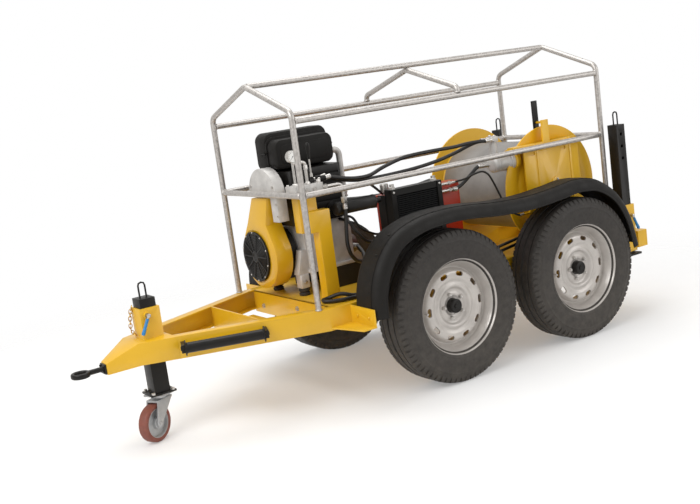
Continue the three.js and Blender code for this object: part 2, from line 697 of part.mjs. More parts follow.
// Cage of round tube: hoops, cross bars and long rails
const hoopBend = { side: 45, midSide: 28, apex: 60 };

function hoop(x, footZ, apexZ, sideBend) {
  const w = cageHalfWidth;
  const corners = [[x, -w, footZ], [x, -w, bendZ], [x, 0, apexZ], [x, w, bendZ], [x, w, footZ]];
  return tube(corners, cageRadius, { bend: sideBend, steps: 3, sides: 8 });
}

function postedHoop(x) {
  const frame = hoop(x, chassisTop + clearance, ridgeZ, hoopBend.side);
  const bar = rod(cageRadius, [x, -cageHalfWidth, midRailZ], [x, cageHalfWidth, midRailZ], 8);
  return join(frame, bar);
}

function longRail(y, z) {
  const gap = cageRadius + clearance;
  return rod(cageRadius, [frontHoopX + gap, y, z], [rearHoopX - gap, y, z], 8);
}

function ridgeRail() {
  const foot = topRailZ + cageRadius + clearance;
  return join(longRail(0, ridgeZ), hoop(midHoopX, foot, ridgeZ - cageTube + weld, hoopBend.midSide));
}

// Power unit
const crank = { y: 124, z: 659 };
const blower = { x0: -998, x1: -913, radius: 158, neckTop: 932, neckNear: -15, neckFar: 125,
  pinchY: 28, pinchZ: 806, shoulderY: 202, shoulderZ: 808, nearTurn: 2.88, farTurn: 0.36, edge: 8 };
const grille = { y: 156, z: 652, radius: 120, thick: 9, ringWide: 9, hub: 26, boss: 14, slots: 10 };
const cover = { x0: -984, x1: -932, y: 40, radius: 124, springZ: 944, skirtZ: 823, skirtWide: 56 };
const cowl = { x0: -904, x1: -616, y0: -90, y1: 130, z0: 790, z1: 1042, round: 24,
  fins: 5, groove: 7 };
const wheel = { x0: -904, x1: -862, radius: 116, shaft: 22 };
const casing = { x0: -850, x1: -588, y0: -52, y1: 236, z0: 556, round: 26, footX: -906,
  footWide: 44, footHigh: 112, flangeOut: 14, flangeHigh: 16 };
const base = { x0: -912, x1: -541, y0: -65, y1: 248, thick: 18, rearX: -726, padRadius: 21, padX: -884 };
const filter = { bodyX0: -931, bodyX1: -586, bodyY1: 145, splitY: 45, bodyZ1: 1221, coverX0: -926,
  coverX1: -614, coverY0: -38, coverZ0: 1051, coverZ1: 1188, round: 38, soft: 12 };
const intake = { radius: 15, y: 5, z: 1098, x: -562, lowZ: 873, bend: 34 };
const silencer = { x0: -752, x1: -528, y: -192, z: 845, radius: 31, stubX: -700, stub: 17, tail: 13,
  tailOut: 34 };
const pump = { y: 80, z: 622, radius: 47, x1: -503, flange: 60, flangeThick: 14, port: 14, portRise: 30 };

function softBlock(x0, x1, y0, y1, z0, z1, round, soft) {
  const shape = roundedRect(x0 + soft, x1 - soft, z0 + soft, z1 - soft, round - soft);
  const options = { depth: y1 - y0 - 2 * soft, bevelEnabled: true, bevelThickness: soft, bevelSize: soft,
    bevelSegments: 1, curveSegments: 3 };
  return new THREE.ExtrudeGeometry(shape, options).rotateX(Math.PI / 2).translate(0, y1 - soft, 0);
}

function blowerHousing() {
  const b = blower;
  const shape = new THREE.Shape();
  shape.moveTo(b.neckFar, b.neckTop);
  shape.lineTo(b.neckNear, b.neckTop);
  shape.lineTo(b.pinchY, b.pinchZ);
  shape.absarc(crank.y, crank.z, b.radius, b.nearTurn, b.farTurn + 2 * Math.PI);
  shape.lineTo(b.shoulderY, b.shoulderZ);
  const body = frontPrism(shape, b.x0, b.x1, 14);
  const lipRadius = grille.radius + b.edge;
  const recess = rod(lipRadius, [b.x0 - overrun, grille.y, grille.z],
    [b.x0 + grille.thick / 2, grille.y, grille.z], 20);
  return cut(body, recess);
}

function blowerGrille() {
  const g = grille;
  const back = blower.x0 + g.thick / 2 - clearance;
  const front = back - g.thick;
  const rise = g.thick + g.ringWide / 2;
  const profile = [[0, 0], [g.radius, 0], [g.radius, g.thick / 2], [g.radius - g.ringWide, g.thick],
    [g.hub + g.ringWide, g.thick], [g.hub, rise], [g.boss, rise], [g.boss, g.thick], [0, g.thick]];
  const disc = turned(profile, 20).rotateZ(Math.PI / 2);
  const slots = Array.from({ length: g.slots }, (_, i) => {
    const inner = g.hub + g.ringWide;
    const outer = g.radius - g.ringWide * 1.5;
    const slot = block(-g.thick * 2, g.thick, -g.ringWide / 3, g.ringWide / 3, inner, outer);
    return slot.rotateX((i * 2 * Math.PI) / g.slots);
  });
  return cut(disc, ...slots).translate(back, g.y, g.z);
}

function headCover() {
  const c = cover;
  const seat = blower.neckTop + clearance;
  const shape = new THREE.Shape();
  shape.moveTo(c.y + c.radius, seat);
  shape.absarc(c.y, c.springZ, c.radius, 0, Math.PI);
  shape.lineTo(c.y - c.radius, c.skirtZ);
  shape.lineTo(c.y - c.radius + c.skirtWide, c.skirtZ);
  shape.lineTo(c.y - c.radius + c.skirtWide, seat);
  return frontPrism(shape, c.x0, c.x1, 12);
}

function cylinderCowl() {
  const c = cowl;
  const body = planPrism(roundedRect(c.x0, c.x1, c.y0, c.y1, c.round), c.z0, c.z1, 3);
  const finRoom = Array.from({ length: c.fins }, (_, i) => {
    const z = c.z0 + ((i + 1) * (c.z1 - c.z0)) / (c.fins + 1);
    return block(c.x0 + c.round, c.x1 - c.round, c.y0 - overrun, c.y0 + c.groove, z, z + c.groove);
  });
  return cut(body, ...finRoom);
}

function flywheel() {
  const w = wheel;
  const ring = rod(w.radius, [w.x0, crank.y, crank.z], [w.x1, crank.y, crank.z], 24);
  const shaft = rod(w.shaft, [blower.x1 + clearance, crank.y, crank.z],
    [casing.x0 - clearance, crank.y, crank.z], 16);
  return join(ring, shaft);
}

function crankcase() {
  const c = casing;
  const body = frontPrism(roundedRect(c.y0, c.y1, c.z0, cowl.z0 - clearance, c.round), c.x0, c.x1, 3);
  const foot = [c.y0, c.y1 - c.footWide].map((y) => sidePrism([[c.footX, c.z0],
    [c.x0 + c.round, c.z0], [c.x0 + c.round, c.z0 + c.footHigh], [c.x0 - c.round, c.z0 + c.footHigh]],
  y, y + c.footWide));
  const room = rod(wheel.radius + overrun, [wheel.x0 - overrun, crank.y, crank.z],
    [wheel.x1 + overrun, crank.y, crank.z], 24);
  const sole = block(c.x0, c.x1 + c.flangeOut / 2, c.y0 - c.flangeOut, c.y1 + c.flangeOut, c.z0,
    c.z0 + c.flangeHigh);
  return cut(join(body, sole, ...foot), room);
}

function engineBase() {
  const floor = chassisTop + clearance;
  const top = casing.z0 - clearance;
  const plate = block(base.x0, base.x1, base.y0, base.y1, floor, floor + base.thick);
  const rear = block(base.rearX, base.x1, base.y0, base.y1, floor, top);
  const pads = [casing.y0 + casing.footWide / 2, casing.y1 - casing.footWide / 2].map((y) => rod(
    base.padRadius, [base.padX, y, floor + base.thick / 2], [base.padX, y, top], 16));
  return join(plate, rear, ...pads);
}

function airFilter() {
  const f = filter;
  const low = cowl.z1 + clearance;
  const body = softBlock(f.bodyX0, f.bodyX1, f.splitY, f.bodyY1, low, f.bodyZ1, f.round, f.soft);
  const cover = softBlock(f.coverX0, f.coverX1, f.coverY0, f.splitY + weld, f.coverZ0, f.coverZ1,
    f.round, f.soft);
  return join(body, cover);
}

function intakePipe() {
  const p = intake;
  return tube([[filter.coverX1 + clearance, p.y, p.z], [p.x, p.y, p.z], [p.x, p.y, p.lowZ],
    [cowl.x1 + clearance, p.y, p.lowZ]], p.radius, { bend: p.bend, steps: 3, sides: 10 });
}

function exhaustSilencer() {
  const s = silencer;
  const body = rod(s.radius, [s.x0, s.y, s.z], [s.x1, s.y, s.z], 20);
  const stub = rod(s.stub, [s.stubX, s.y, s.z], [s.stubX, cowl.y0 - clearance, s.z], 14);
  const tail = rod(s.tail, [s.x1 - s.tail, s.y, s.z], [s.x1 + s.tailOut, s.y, s.z], 14);
  return join(body, stub, tail);
}

function hydraulicPump() {
  const p = pump;
  const x0 = casing.x1 + clearance;
  const body = rod(p.radius, [x0, p.y, p.z], [p.x1, p.y, p.z], 18);
  const portX = (x0 + p.x1) / 2;
  const port = rod(p.port, [portX, p.y, p.z], [portX, p.y - p.radius - p.portRise, p.z], 12);
  const flangeRoom = casing.z0 + casing.flangeHigh + clearance;
  const mount = block(x0, x0 + p.flangeThick, p.y - p.flange, p.y + p.flange, flangeRoom, p.z + p.flange);
  const sole = block(x0 - overrun, casing.x1 + casing.flangeOut / 2 + clearance, p.y - 2 * p.flange,
    p.y + 2 * p.flange, casing.z0, flangeRoom);
  return cut(join(body, port, mount), sole);
}

// Control column, valve block with its fittings, and the lever
const column = { x0: -887, x1: -820, y0: -252, y1: -200, headX0: -926, headX1: -817, headZ0: 770,
  headZ1: 865, backX0: -945, backX1: -850, backY1: -150, top: 938, wall: 5 };
const valve = { x0: -970, x1: -822, y0: -238, y1: -152, high: 47, bolt: 7 };
const gauge = { x: -955, y: -222, z: 1118, radius: 27, thick: 24, stem: 7 };
const elbow = { x: -893, z: 1086, radius: 7, lineX: -836, lineEndX: -800, lineZ: 1000, nearY: -222,
  farY: -182 };
const spout = { x1: -722, lowZ: 872, radius: 8, nut: 13, y: -236 };
const lever = { x: -852, y: -196, ball: 12, rod: 4, gripZ: 1096, grip: 9, topZ: 1165 };
const leverZ = column.top + clearance + valve.high + clearance + lever.ball;

function controlColumn() {
  const c = column;
  const floor = chassisTop + clearance;
  const post = block(c.x0, c.x1, c.y0, c.y1, floor, c.headZ1);
  const head = block(c.headX0, c.headX1, c.y0, c.y1, c.headZ0, c.headZ1);
  const back = block(c.backX0, c.backX1, c.y1 - c.wall, c.backY1, c.headZ0, c.top);
  const hollow = block(c.x0 + c.wall, c.x1 - c.wall, c.y0 + c.wall, c.y1 + overrun, floor + c.wall,
    c.headZ0 - c.wall);
  return cut(join(post, head, back), hollow);
}

function valveBlock() {
  const v = valve;
  const z0 = column.top + clearance;
  const top = z0 + v.high;
  const body = block(v.x0, v.x1, v.y0, v.y1, z0, top);
  const stem = rod(gauge.stem, [gauge.x, gauge.y, top - overrun], [gauge.x, gauge.y, gauge.z], 10);
  const dial = rod(gauge.radius, [gauge.x, gauge.y - gauge.thick / 2, gauge.z],
    [gauge.x, gauge.y + gauge.thick / 2, gauge.z], 16);
  const bridge = tube([[elbow.x, gauge.y, top - overrun], [elbow.x, gauge.y, elbow.z],
    [gauge.x, gauge.y, elbow.z]], elbow.radius, { steps: 2, sides: 6 });
  const side = tube([[v.x1 - overrun, spout.y, z0 + v.high / 2], [spout.x1, spout.y, z0 + v.high / 2],
    [spout.x1, spout.y, spout.lowZ]], spout.radius, { steps: 2, sides: 6 });
  const nut = rod(spout.nut, [spout.x1, spout.y, spout.lowZ],
    [spout.x1, spout.y, spout.lowZ + 3 * spout.nut], 6);
  const lines = [elbow.nearY, elbow.farY].map((y) => tube([[elbow.lineX, y, top - overrun],
    [elbow.lineX, y, elbow.lineZ], [elbow.lineEndX, y, elbow.lineZ]], elbow.radius,
  { bend: elbow.radius, steps: 2, sides: 6 }));
  const studX = v.x0 + 2 * v.bolt;
  const studY = v.y1 - 2 * v.bolt;
  const stud = rod(v.bolt, [studX, studY, top - overrun], [studX, studY, top + v.bolt], 6);
  return join(body, stem, dial, bridge, side, nut, stud, ...lines);
}

function valveLever() {
  const l = lever;
  const ball = new THREE.SphereGeometry(l.ball, 8, 6).translate(l.x, l.y, leverZ);
  const shank = rod(l.rod, [l.x, l.y, leverZ], [l.x, l.y, l.gripZ + overrun], 8);
  const grip = rod(l.grip, [l.x, l.y, l.gripZ], [l.x, l.y, l.topZ], 12);
  return join(ball, shank, grip);
}

// Oil tank and the cooler fixed to its near face
const tank = { x0: -500, x1: 50, y0: -160, y1: 200, top: 855, round: 28, wall: 5, capX: -120, capY: 80,
  cap: 38, capHigh: 26, drain: 11 };
const cooler = { x0: -470, x1: -170, y0: -255, y1: -197, z0: 600, z1: 885, side: 26, head: 30, fins: 10,
  finDeep: 12, fitting: 15, fittingRise: 24, ear: 22, earZ: 650, earHigh: 46, spigot: 9, spigotOut: 85,
  spigotHighZ: 856, spigotLowZ: 822 };

function oilTank() {
  const t = tank;
  const body = planPrism(roundedRect(t.x0, t.x1, t.y0, t.y1, t.round), chassisTop + clearance, t.top, 4);
  const filler = rod(t.cap, [t.capX, t.capY, t.top - overrun], [t.capX, t.capY, t.top + t.capHigh], 16);
  const floor = chassisTop + clearance;
  const room = planPrism(roundedRect(t.x0 + t.wall, t.x1 - t.wall, t.y0 + t.wall, t.y1 - t.wall,
    t.round - t.wall), floor + t.wall, t.top - t.wall, 2);
  const drainHole = rod(t.drain, [t.capX, t.capY, floor - overrun], [t.capX, t.capY, floor + 2 * t.wall], 8);
  return cut(join(body, filler), room, drainHole);
}

function oilCooler() {
  const c = cooler;
  const pitch = (c.z1 - c.z0 - 2 * c.head) / c.fins;
  const comb = [[c.y1, c.z0], [c.y1, c.z1], [c.y0, c.z1], [c.y0, c.z1 - c.head]];
  for (let i = 0; i < c.fins; i += 1) {
    const z = c.z1 - c.head - i * pitch;
    comb.push([c.y0 + c.finDeep, z], [c.y0 + c.finDeep, z - pitch / 2], [c.y0, z - pitch / 2]);
    comb.push([c.y0, z - pitch]);
  }
  comb.push([c.y0, c.z0]);
  const core = frontPrism(comb, c.x0 + c.side / 2, c.x1 - c.side / 2);
  const sides = [c.x0, c.x1 - c.side].map((x) => block(x, x + c.side, c.y0 - clearance, c.y1, c.z0, c.z1));
  const middle = (c.y0 + c.y1) / 2;
  const fittings = [c.x0 + c.side, c.x1 - c.side].map((x) => rod(c.fitting,
    [x, middle, c.z1 - c.head / 2], [x, middle, c.z1 + c.fittingRise], 12));
  const ears = [c.x0 + c.side, c.x1 - c.side - c.ear].map((x) => block(x, x + c.ear, c.y1 - c.finDeep,
    tank.y0 - clearance, c.earZ, c.earZ + c.earHigh));
  const spigots = [c.spigotHighZ, c.spigotLowZ].map((z) => rod(c.spigot, [c.x1 - c.side / 2, middle, z],
    [c.x1 + c.spigotOut, middle, z], 8));
  return join(core, ...sides, ...fittings, ...ears, ...spigots);
}

// Winch drum on its shaft between two standing plates
const drum = { x: 507, z: 742, radius: 310, core: 229, halfWidth: 300, flange: 8, bore: 32, hub: 62,
  hubOut: 6, wall: 8 };
const supportFront = 57;
const supportBack = 173;
const support = { y: 335, thick: 8, x0: drum.x - drum.radius - supportFront, x1: drum.x + supportBack,
  top: 975, ledge: 34, boss: 46, bossOut: 8,
  rib: 14, ribX0: 392, ribX1: 622 };
const drain = { z: 640, radius: 7, out: 40 };
const nearSupportShares = [[0.3, 0], [0.3, 0.7], [0.02, 0.76], [0, 0.8], [0, 0.93], [0.05, 0.98],
  [0.12, 1], [0.96, 1], [1, 0.96], [1, 0]];
const farSupportShares = [[0.3, 0], [0.3, 0.7], [0.36, 1], [0.96, 1], [1, 0.96], [1, 0]];
const motor = { gap: 7, z: 905, radius: 36, length: 132, flange: 43, flangeThick: 12, ring: 58, ringThick: 5,
  port: 13, portOut: 34, riserY: -245, riser: 15, riserTop: 1040, pair: 16 };
const motorX = drum.x - drum.radius - motor.gap;
const brakePivot = { back: 44, over: 20 };
const brake = { x: drum.x - brakePivot.back, z: drum.z + drum.radius + brakePivot.over, pin: 6,
  width: 34, thick: 10, y0: -284, low: 1000, top: 1182, post: 46 };

function drumBody() {
  const { radius, core, halfWidth: w, flange: f, bore, hub, hubOut, wall } = drum;
  const face = w + hubOut;
  const profile = [[bore, -face], [hub, -face], [hub, -w], [radius, -w], [radius, f - w], [core, f - w],
    [core, w - f], [radius, w - f], [radius, w], [hub, w], [hub, face], [bore, face],
    [bore, w - f - wall], [core - wall, w - f - wall], [core - wall, wall + f - w],
    [bore, wall + f - w], [bore, -face]];
  return turned(profile, 24).translate(drum.x, 0, drum.z);
}

function supportPlate(shares, side) {
  const s = support;
  const z0 = chassisBottom + sheet + clearance;
  const points = shares.map(([a, b]) => [s.x0 + a * (s.x1 - s.x0), z0 + b * (s.top - z0)]);
  const [y0, y1] = side < 0 ? [-s.y - s.thick, -s.y] : [s.y, s.y + s.thick];
  const plate = sidePrism(points, y0, y1);
  const left = s.x0 + Math.max(...shares.slice(-4, -3).map(([a]) => a), 0) * (s.x1 - s.x0);
  const inner = side * (s.y - s.ledge);
  const ledge = block(Math.min(left, s.ribX0), s.x1 - s.rib, Math.min(inner, side * s.y),
    Math.max(inner, side * s.y), s.top - s.thick, s.top);
  return [plate, ledge];
}

function shaftBoss(side) {
  const out = side * (support.y + support.thick);
  return rod(support.boss, [drum.x, side * (support.y + support.thick / 4), drum.z],
    [drum.x, out + side * support.bossOut, drum.z], 18);
}

function nearSupport() {
  const s = support;
  const out = -s.y - s.thick;
  const ring = rod(motor.ring, [motorX, out - motor.ringThick, motor.z],
    [motorX, -s.y - s.thick / 4, motor.z], 16);
  const shaft = rod(drum.bore - clearance, [drum.x, -s.y - s.thick / 2, drum.z],
    [drum.x, s.y - clearance, drum.z], 18);
  const spacer = rod(drum.hub, [drum.x, -s.y - s.thick / 2, drum.z],
    [drum.x, -drum.halfWidth - drum.hubOut - clearance, drum.z], 18);
  const post = block(brake.x - brake.post / 2, brake.x + brake.post / 2, -s.y - s.thick, -s.y,
    s.top - s.thick, brake.z + brake.pin * 2);
  const pin = rod(brake.pin, [brake.x, -s.y - s.thick / 2, brake.z],
    [brake.x, brake.y0 + brake.thick + overrun, brake.z], 12);
  const ribs = [s.ribX0, s.ribX1].map((x) => block(x - s.rib / 2, x + s.rib / 2, out - s.thick / 2,
    out + s.thick / 2, chassisTop, s.top));
  const edgeX = s.x0 + nearSupportShares[0][0] * (s.x1 - s.x0);
  const fitting = rod(drain.radius, [edgeX + overrun, -s.y - s.thick / 2, drain.z],
    [edgeX - drain.out, -s.y - s.thick / 2, drain.z], 8);
  return join(...supportPlate(nearSupportShares, -1), ring, shaft, spacer, post, pin, fitting, shaftBoss(-1),
    ...ribs);
}

function farSupport() {
  const spacer = rod(drum.hub, [drum.x, support.y + support.thick / 2, drum.z],
    [drum.x, drum.halfWidth + drum.hubOut + clearance, drum.z], 18);
  const bore = rod(drum.bore, [drum.x, 0, drum.z], [drum.x, support.y, drum.z], 18);
  return cut(join(...supportPlate(farSupportShares, 1), spacer, shaftBoss(1)), bore);
}

function winchMotor() {
  const m = { x: motorX, ...motor };
  const back = -support.y + clearance;
  const plate = rod(m.flange, [m.x, back, m.z], [m.x, back + m.flangeThick, m.z], 18);
  const body = rod(m.radius, [m.x, back + m.flangeThick / 2, m.z], [m.x, back + m.length, m.z], 18);
  const end = back + m.length - 2 * m.port;
  const port = rod(m.port, [m.x, end, m.z], [m.x - m.radius - m.portOut, end, m.z], 12);
  const riser = rod(m.riser, [m.x, m.riserY, m.z], [m.x, m.riserY, m.riserTop], 12);
  const head = block(m.x - m.riser, m.x + m.riser, m.riserY - m.pair - m.port, m.riserY + m.pair + m.port,
    m.riserTop - 2 * m.port, m.riserTop);
  const portZ = m.riserTop - m.port;
  const ports = [-m.pair, m.pair].map((off) => rod(m.port - clearance, [m.x, m.riserY + off, portZ],
    [m.x - m.portOut, m.riserY + off, portZ], 10));
  return join(plate, body, port, riser, head, ...ports);
}

function brakeLever() {
  const b = brake;
  const bar = block(b.x - b.width / 2, b.x + b.width / 2, b.y0, b.y0 + b.thick, b.low, b.top);
  const hole = rod(b.pin + clearance, [b.x, b.y0 - overrun, b.z], [b.x, b.y0 + b.thick + overrun, b.z], 12);
  return cut(bar, hole);
}

// Hydraulic hoses, each along a route from fitting to fitting
const hose = { radius: 9, thin: 5, sides: 8, stepShare: 5, lead: 25 };
const headPortX = motorX - motor.portOut - clearance;
const headPortZ = motor.riserTop - motor.port;
const sidePortX = motorX - motor.radius - motor.portOut - clearance;
const sidePortY = clearance + motor.length - 2 * motor.port - support.y;
const leadTo = (x, y, z) => [[x - hose.lead, y, z], [x, y, z]];
const motorFeedRoute = [[-799.7, -222, 1000], [-775, -222, 1000], [-700, -218, 981], [-625, -215, 969],
  [-548, -214, 970], [-468, -216, 995], [-345, -222, 1021], [-200, -229, 1026], [-60, -240, 1025],
  [20, -249, 1030], [85, -259, 1030],
  ...leadTo(headPortX, motor.riserY - motor.pair, headPortZ)];
const motorReturnRoute = [[-799.7, -182, 1000], [-775, -182, 1000], [-690, -183, 972], [-600, -185, 955],
  [-500, -187, 950], [-380, -187, 951], [-250, -190, 957], [-125, -196, 971], [-20, -205, 993],
  [70, -223, 1020], ...leadTo(headPortX, motor.riserY + motor.pair, headPortZ)];
const coolerRoute = [[-84.7, -226, 822], [-60, -226, 822], [-20, -226, 836], [40, -227.5, 873],
  [75, -228.7, 897], ...leadTo(sidePortX, sidePortY, motor.z)];
const drainRoute = [[-84.7, -226, 856], [-60, -226, 856], [-10, -243, 862], [30, -270, 880],
  [62, -290, 886], [90, -300, 868], [112, -304, 830], [135, -306, 780], [160, -309, 725],
  [190, -324, 668], [228, -339, 640], [261.7, -339, 640]];
const pumpRoute = [[-722, -236, 871.7], [-722, -236, 850], [-728, -240, 800], [-738, -244, 740],
  [-742, -245, 690], [-728, -238, 640], [-695, -222, 602], [-650, -195, 580], [-600, -150, 574],
  [-562, -95, 590], [-547, -45, 612], [-545.4, -22, 622], [-545.4, 2.7, 622]];

function hoseRun(route, radius) {
  const extrudePath = new THREE.CatmullRomCurve3(route.map((p) => new THREE.Vector3(...p)));
  const ring = Array.from({ length: hose.sides }, (_, i) => {
    const angle = (i * 2 * Math.PI) / hose.sides;
    return [radius * Math.cos(angle), radius * Math.sin(angle)];
  });
  const steps = Math.ceil(extrudePath.getLength() / (hose.stepShare * radius));
  return new THREE.ExtrudeGeometry(outline(ring), { steps, bevelEnabled: false, extrudePath });
}

// Assembly
add('drawbar_nose', drawbarNose(), 'yellow');
add('tow_eye', towEye(), 'black');
add('chassis_beam_near', mirrored(chassisBeam(true)), 'yellow');
add('chassis_beam_far', chassisBeam(false), 'yellow');
add('guide_roller', mirrored(guideRoller()), 'black');
add('deck_sheet', deckSheet(), 'yellow');
add('rear_cross_beam', rearCrossBeam(), 'yellow');

const axleRows = [['front', frontAxleX], ['rear', rearAxleX]];
const sides = [['near', -1], ['far', 1]];
for (const [row, x] of axleRows) {
  add(`axle_${row}`, axleAssembly(x), 'black');
  for (const [name, side] of sides) {
    add(`rim_${row}_${name}`, placeWheel(roadRim(), x, side), 'white');
    add(`tyre_${row}_${name}`, placeWheel(turned(tyreProfile(), wheelSides), x, side), 'rubber');
  }
}
for (const [name, side] of sides) add(`fender_${name}`, fenderChannel(side), 'black');

add('jockey_leg', jockeyLeg(), 'black');
add('castor_fork', castorFork(), 'silver');
add('castor_wheel', castorWheel(), 'brown');
const sleeveFace = -sleeveHalfY - clamp.bossLength;
add('jockey_clamp', clampHandle(clamp.x, -leg.sizeY / 2 - clearance, sleeveFace, clamp.z, clamp.radius, -1,
  handle.lean), 'blue');
for (const [name, side] of sides) {
  add(`stabiliser_leg_${name}`, stabiliserLeg(side), 'black');
  const tip = side * (stab.y + stab.size / 2 + clearance);
  const out = side * (stab.y + stabOuter + stab.boss);
  const screw = clampHandle(stab.x, tip, out, stab.z, stab.pin, side, -handle.lean);
  add(`stabiliser_clamp_${name}`, screw, 'blue');
}

add('cage_hoop_front', postedHoop(frontHoopX), 'galvanised');
add('cage_hoop_rear', postedHoop(rearHoopX), 'galvanised');
add('cage_ridge_rail', ridgeRail(), 'galvanised');
for (const [name, side] of sides) {
  add(`cage_top_rail_${name}`, longRail(side * cageHalfWidth, topRailZ), 'galvanised');
  add(`cage_mid_rail_${name}`, longRail(side * cageHalfWidth, midRailZ), 'galvanised');
}

add('blower_housing', blowerHousing(), 'yellow');
add('blower_grille', blowerGrille(), 'black');
add('cylinder_head_cover', headCover(), 'grey');
add('cylinder_cowl', cylinderCowl(), 'black');
add('flywheel', flywheel(), 'black');
add('crankcase', crankcase(), 'grey');
add('engine_base', engineBase(), 'black');
add('air_filter', airFilter(), 'black');
add('intake_pipe', intakePipe(), 'silver');
add('exhaust_silencer', exhaustSilencer(), 'black');
add('hydraulic_pump', hydraulicPump(), 'brown');
add('control_column', controlColumn(), 'yellow');
add('valve_block', valveBlock(), 'silver');
add('valve_lever', valveLever(), 'black');
add('oil_tank', oilTank(), 'red');
add('oil_cooler', oilCooler(), 'black');
add('drum', drumBody(), 'drumGrey');
add('drum_support_near', nearSupport(), 'yellow');
add('drum_support_far', farSupport(), 'yellow');
add('winch_motor', winchMotor(), 'silver');
add('drum_brake_lever', brakeLever(), 'black');

add('motor_feed_hose', hoseRun(motorFeedRoute, hose.radius), 'rubber');
add('motor_return_hose', hoseRun(motorReturnRoute, hose.radius), 'rubber');
add('cooler_hose', hoseRun(coolerRoute, hose.radius), 'rubber');
add('drain_hose', hoseRun(drainRoute, hose.thin), 'rubber');
add('pump_hose', hoseRun(pumpRoute, hose.radius), 'rubber');

// The origin is below the middle of the box round the whole machine
const frontEnd = eye.x - eye.ring;
machine.position.x = -(frontEnd + rearBeam.x1) / 2;
machine.updateMatrixWorld(true);

export default machine;
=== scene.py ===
# Looks of the towed cable pulling machine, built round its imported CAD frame.
# Metres, +X to the rear, -Y the near side, +Z up.
import math

import bmesh
import bpy
from mathutils import Matrix, Vector


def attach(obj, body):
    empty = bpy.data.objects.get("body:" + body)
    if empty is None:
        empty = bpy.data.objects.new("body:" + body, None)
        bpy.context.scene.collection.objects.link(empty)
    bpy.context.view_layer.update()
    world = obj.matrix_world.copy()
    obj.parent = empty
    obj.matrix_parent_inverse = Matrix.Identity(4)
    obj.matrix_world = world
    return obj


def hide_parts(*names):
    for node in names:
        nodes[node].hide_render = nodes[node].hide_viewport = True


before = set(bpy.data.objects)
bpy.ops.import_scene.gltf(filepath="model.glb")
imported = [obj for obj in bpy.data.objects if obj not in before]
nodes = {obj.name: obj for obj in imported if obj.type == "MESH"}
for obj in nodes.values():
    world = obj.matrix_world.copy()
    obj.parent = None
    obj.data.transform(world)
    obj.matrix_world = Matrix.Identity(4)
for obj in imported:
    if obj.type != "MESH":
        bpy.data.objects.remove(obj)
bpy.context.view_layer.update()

# Places are read as stations in millimetres from the middle of the wheelbase
MM = 0.001
STATION_SHIFT = 0.521
ROOT = "chassis"
SCENE = bpy.context.scene
UP, DOWN = (0, 0, 1), (0, 0, -1)
REARWARD, FORWARD = (1, 0, 0), (-1, 0, 0)
NEARWARD = (0, -1, 0)


def at(x, y, z):
    """A place in metres from its station, side and height in millimetres."""
    return Vector((x * MM + STATION_SHIFT, y * MM, z * MM))


# Colours, as hex values of what the photograph shows
YELLOW = "DFAE19"
GALVANISED = "C2BEBA"
ZINC = "CDCAC6"
CAST_GREY = "CBC9C6"
PRIMER = "8F8C89"
BLACK = "110F0D"
PLASTIC = "141210"
TYRE = "231F1C"
HOSE = "161413"
WHITE = "C4BFBA"
RED = "AC2C0C"
BLUE = "2F82C0"
BROWN = "7E3A2C"
PUMP = "4A3026"
GOLD = "C9A24B"
STEEL = "B4B6B8"
FIN = "2B2C2D"
DIAL = "F5F5F2"
FLOOR = "F4F4F4"
DUST = (0.33, 0.29, 0.24, 1.0)
DUST_TOP = 0.75
GRAIN_HEIGHT = 0.0006


def linear(code):
    def channel(i):
        c = int(code[i:i + 2], 16) / 255
        return c / 12.92 if c <= 0.04045 else ((c + 0.055) / 1.055) ** 2.4
    return (channel(0), channel(2), channel(4), 1.0)


# Materials
def add_node(tree, kind, *links, **values):
    """A shader node, with links as (output, input) pairs and values by the name of the input."""
    node = tree.nodes.new("ShaderNode" + kind)
    for slot, value in values.items():
        node.inputs[slot].default_value = value
    for source, slot in links:
        tree.links.new(source, node.inputs[slot])
    return node


def new_material(name):
    material = bpy.data.materials.new(name)
    material.use_nodes = True
    tree = material.node_tree
    shader = tree.nodes["Principled BSDF"]
    return material, tree, shader, add_node(tree, "TexCoord").outputs["Object"]


def noise(tree, place, scale, detail=3.0, rough=0.55):
    node = add_node(tree, "TexNoise", (place, "Vector"), Scale=scale, Detail=detail, Roughness=rough)
    return node.outputs["Fac"]


def remap(tree, value, low, high, out_low, out_high):
    node = add_node(tree, "MapRange", (value, 0))
    for i, number in enumerate((low, high, out_low, out_high)):
        node.inputs[i + 1].default_value = number
    return node.outputs[0]


def mix(tree, factor, a, b):
    node = add_node(tree, "Mix", (factor, 0))
    node.data_type = "RGBA"
    for socket, value in ((node.inputs[6], a), (node.inputs[7], b)):
        if hasattr(value, "links"):
            tree.links.new(value, socket)
        else:
            socket.default_value = value
    return node.outputs[2]


def bump(tree, shader, height, strength, distance):
    node = add_node(tree, "Bump", (height, "Height"), Strength=strength, Distance=distance)
    tree.links.new(node.outputs["Normal"], shader.inputs["Normal"])


def shade(color, factor):
    return (color[0] * factor, color[1] * factor, color[2] * factor, 1.0)


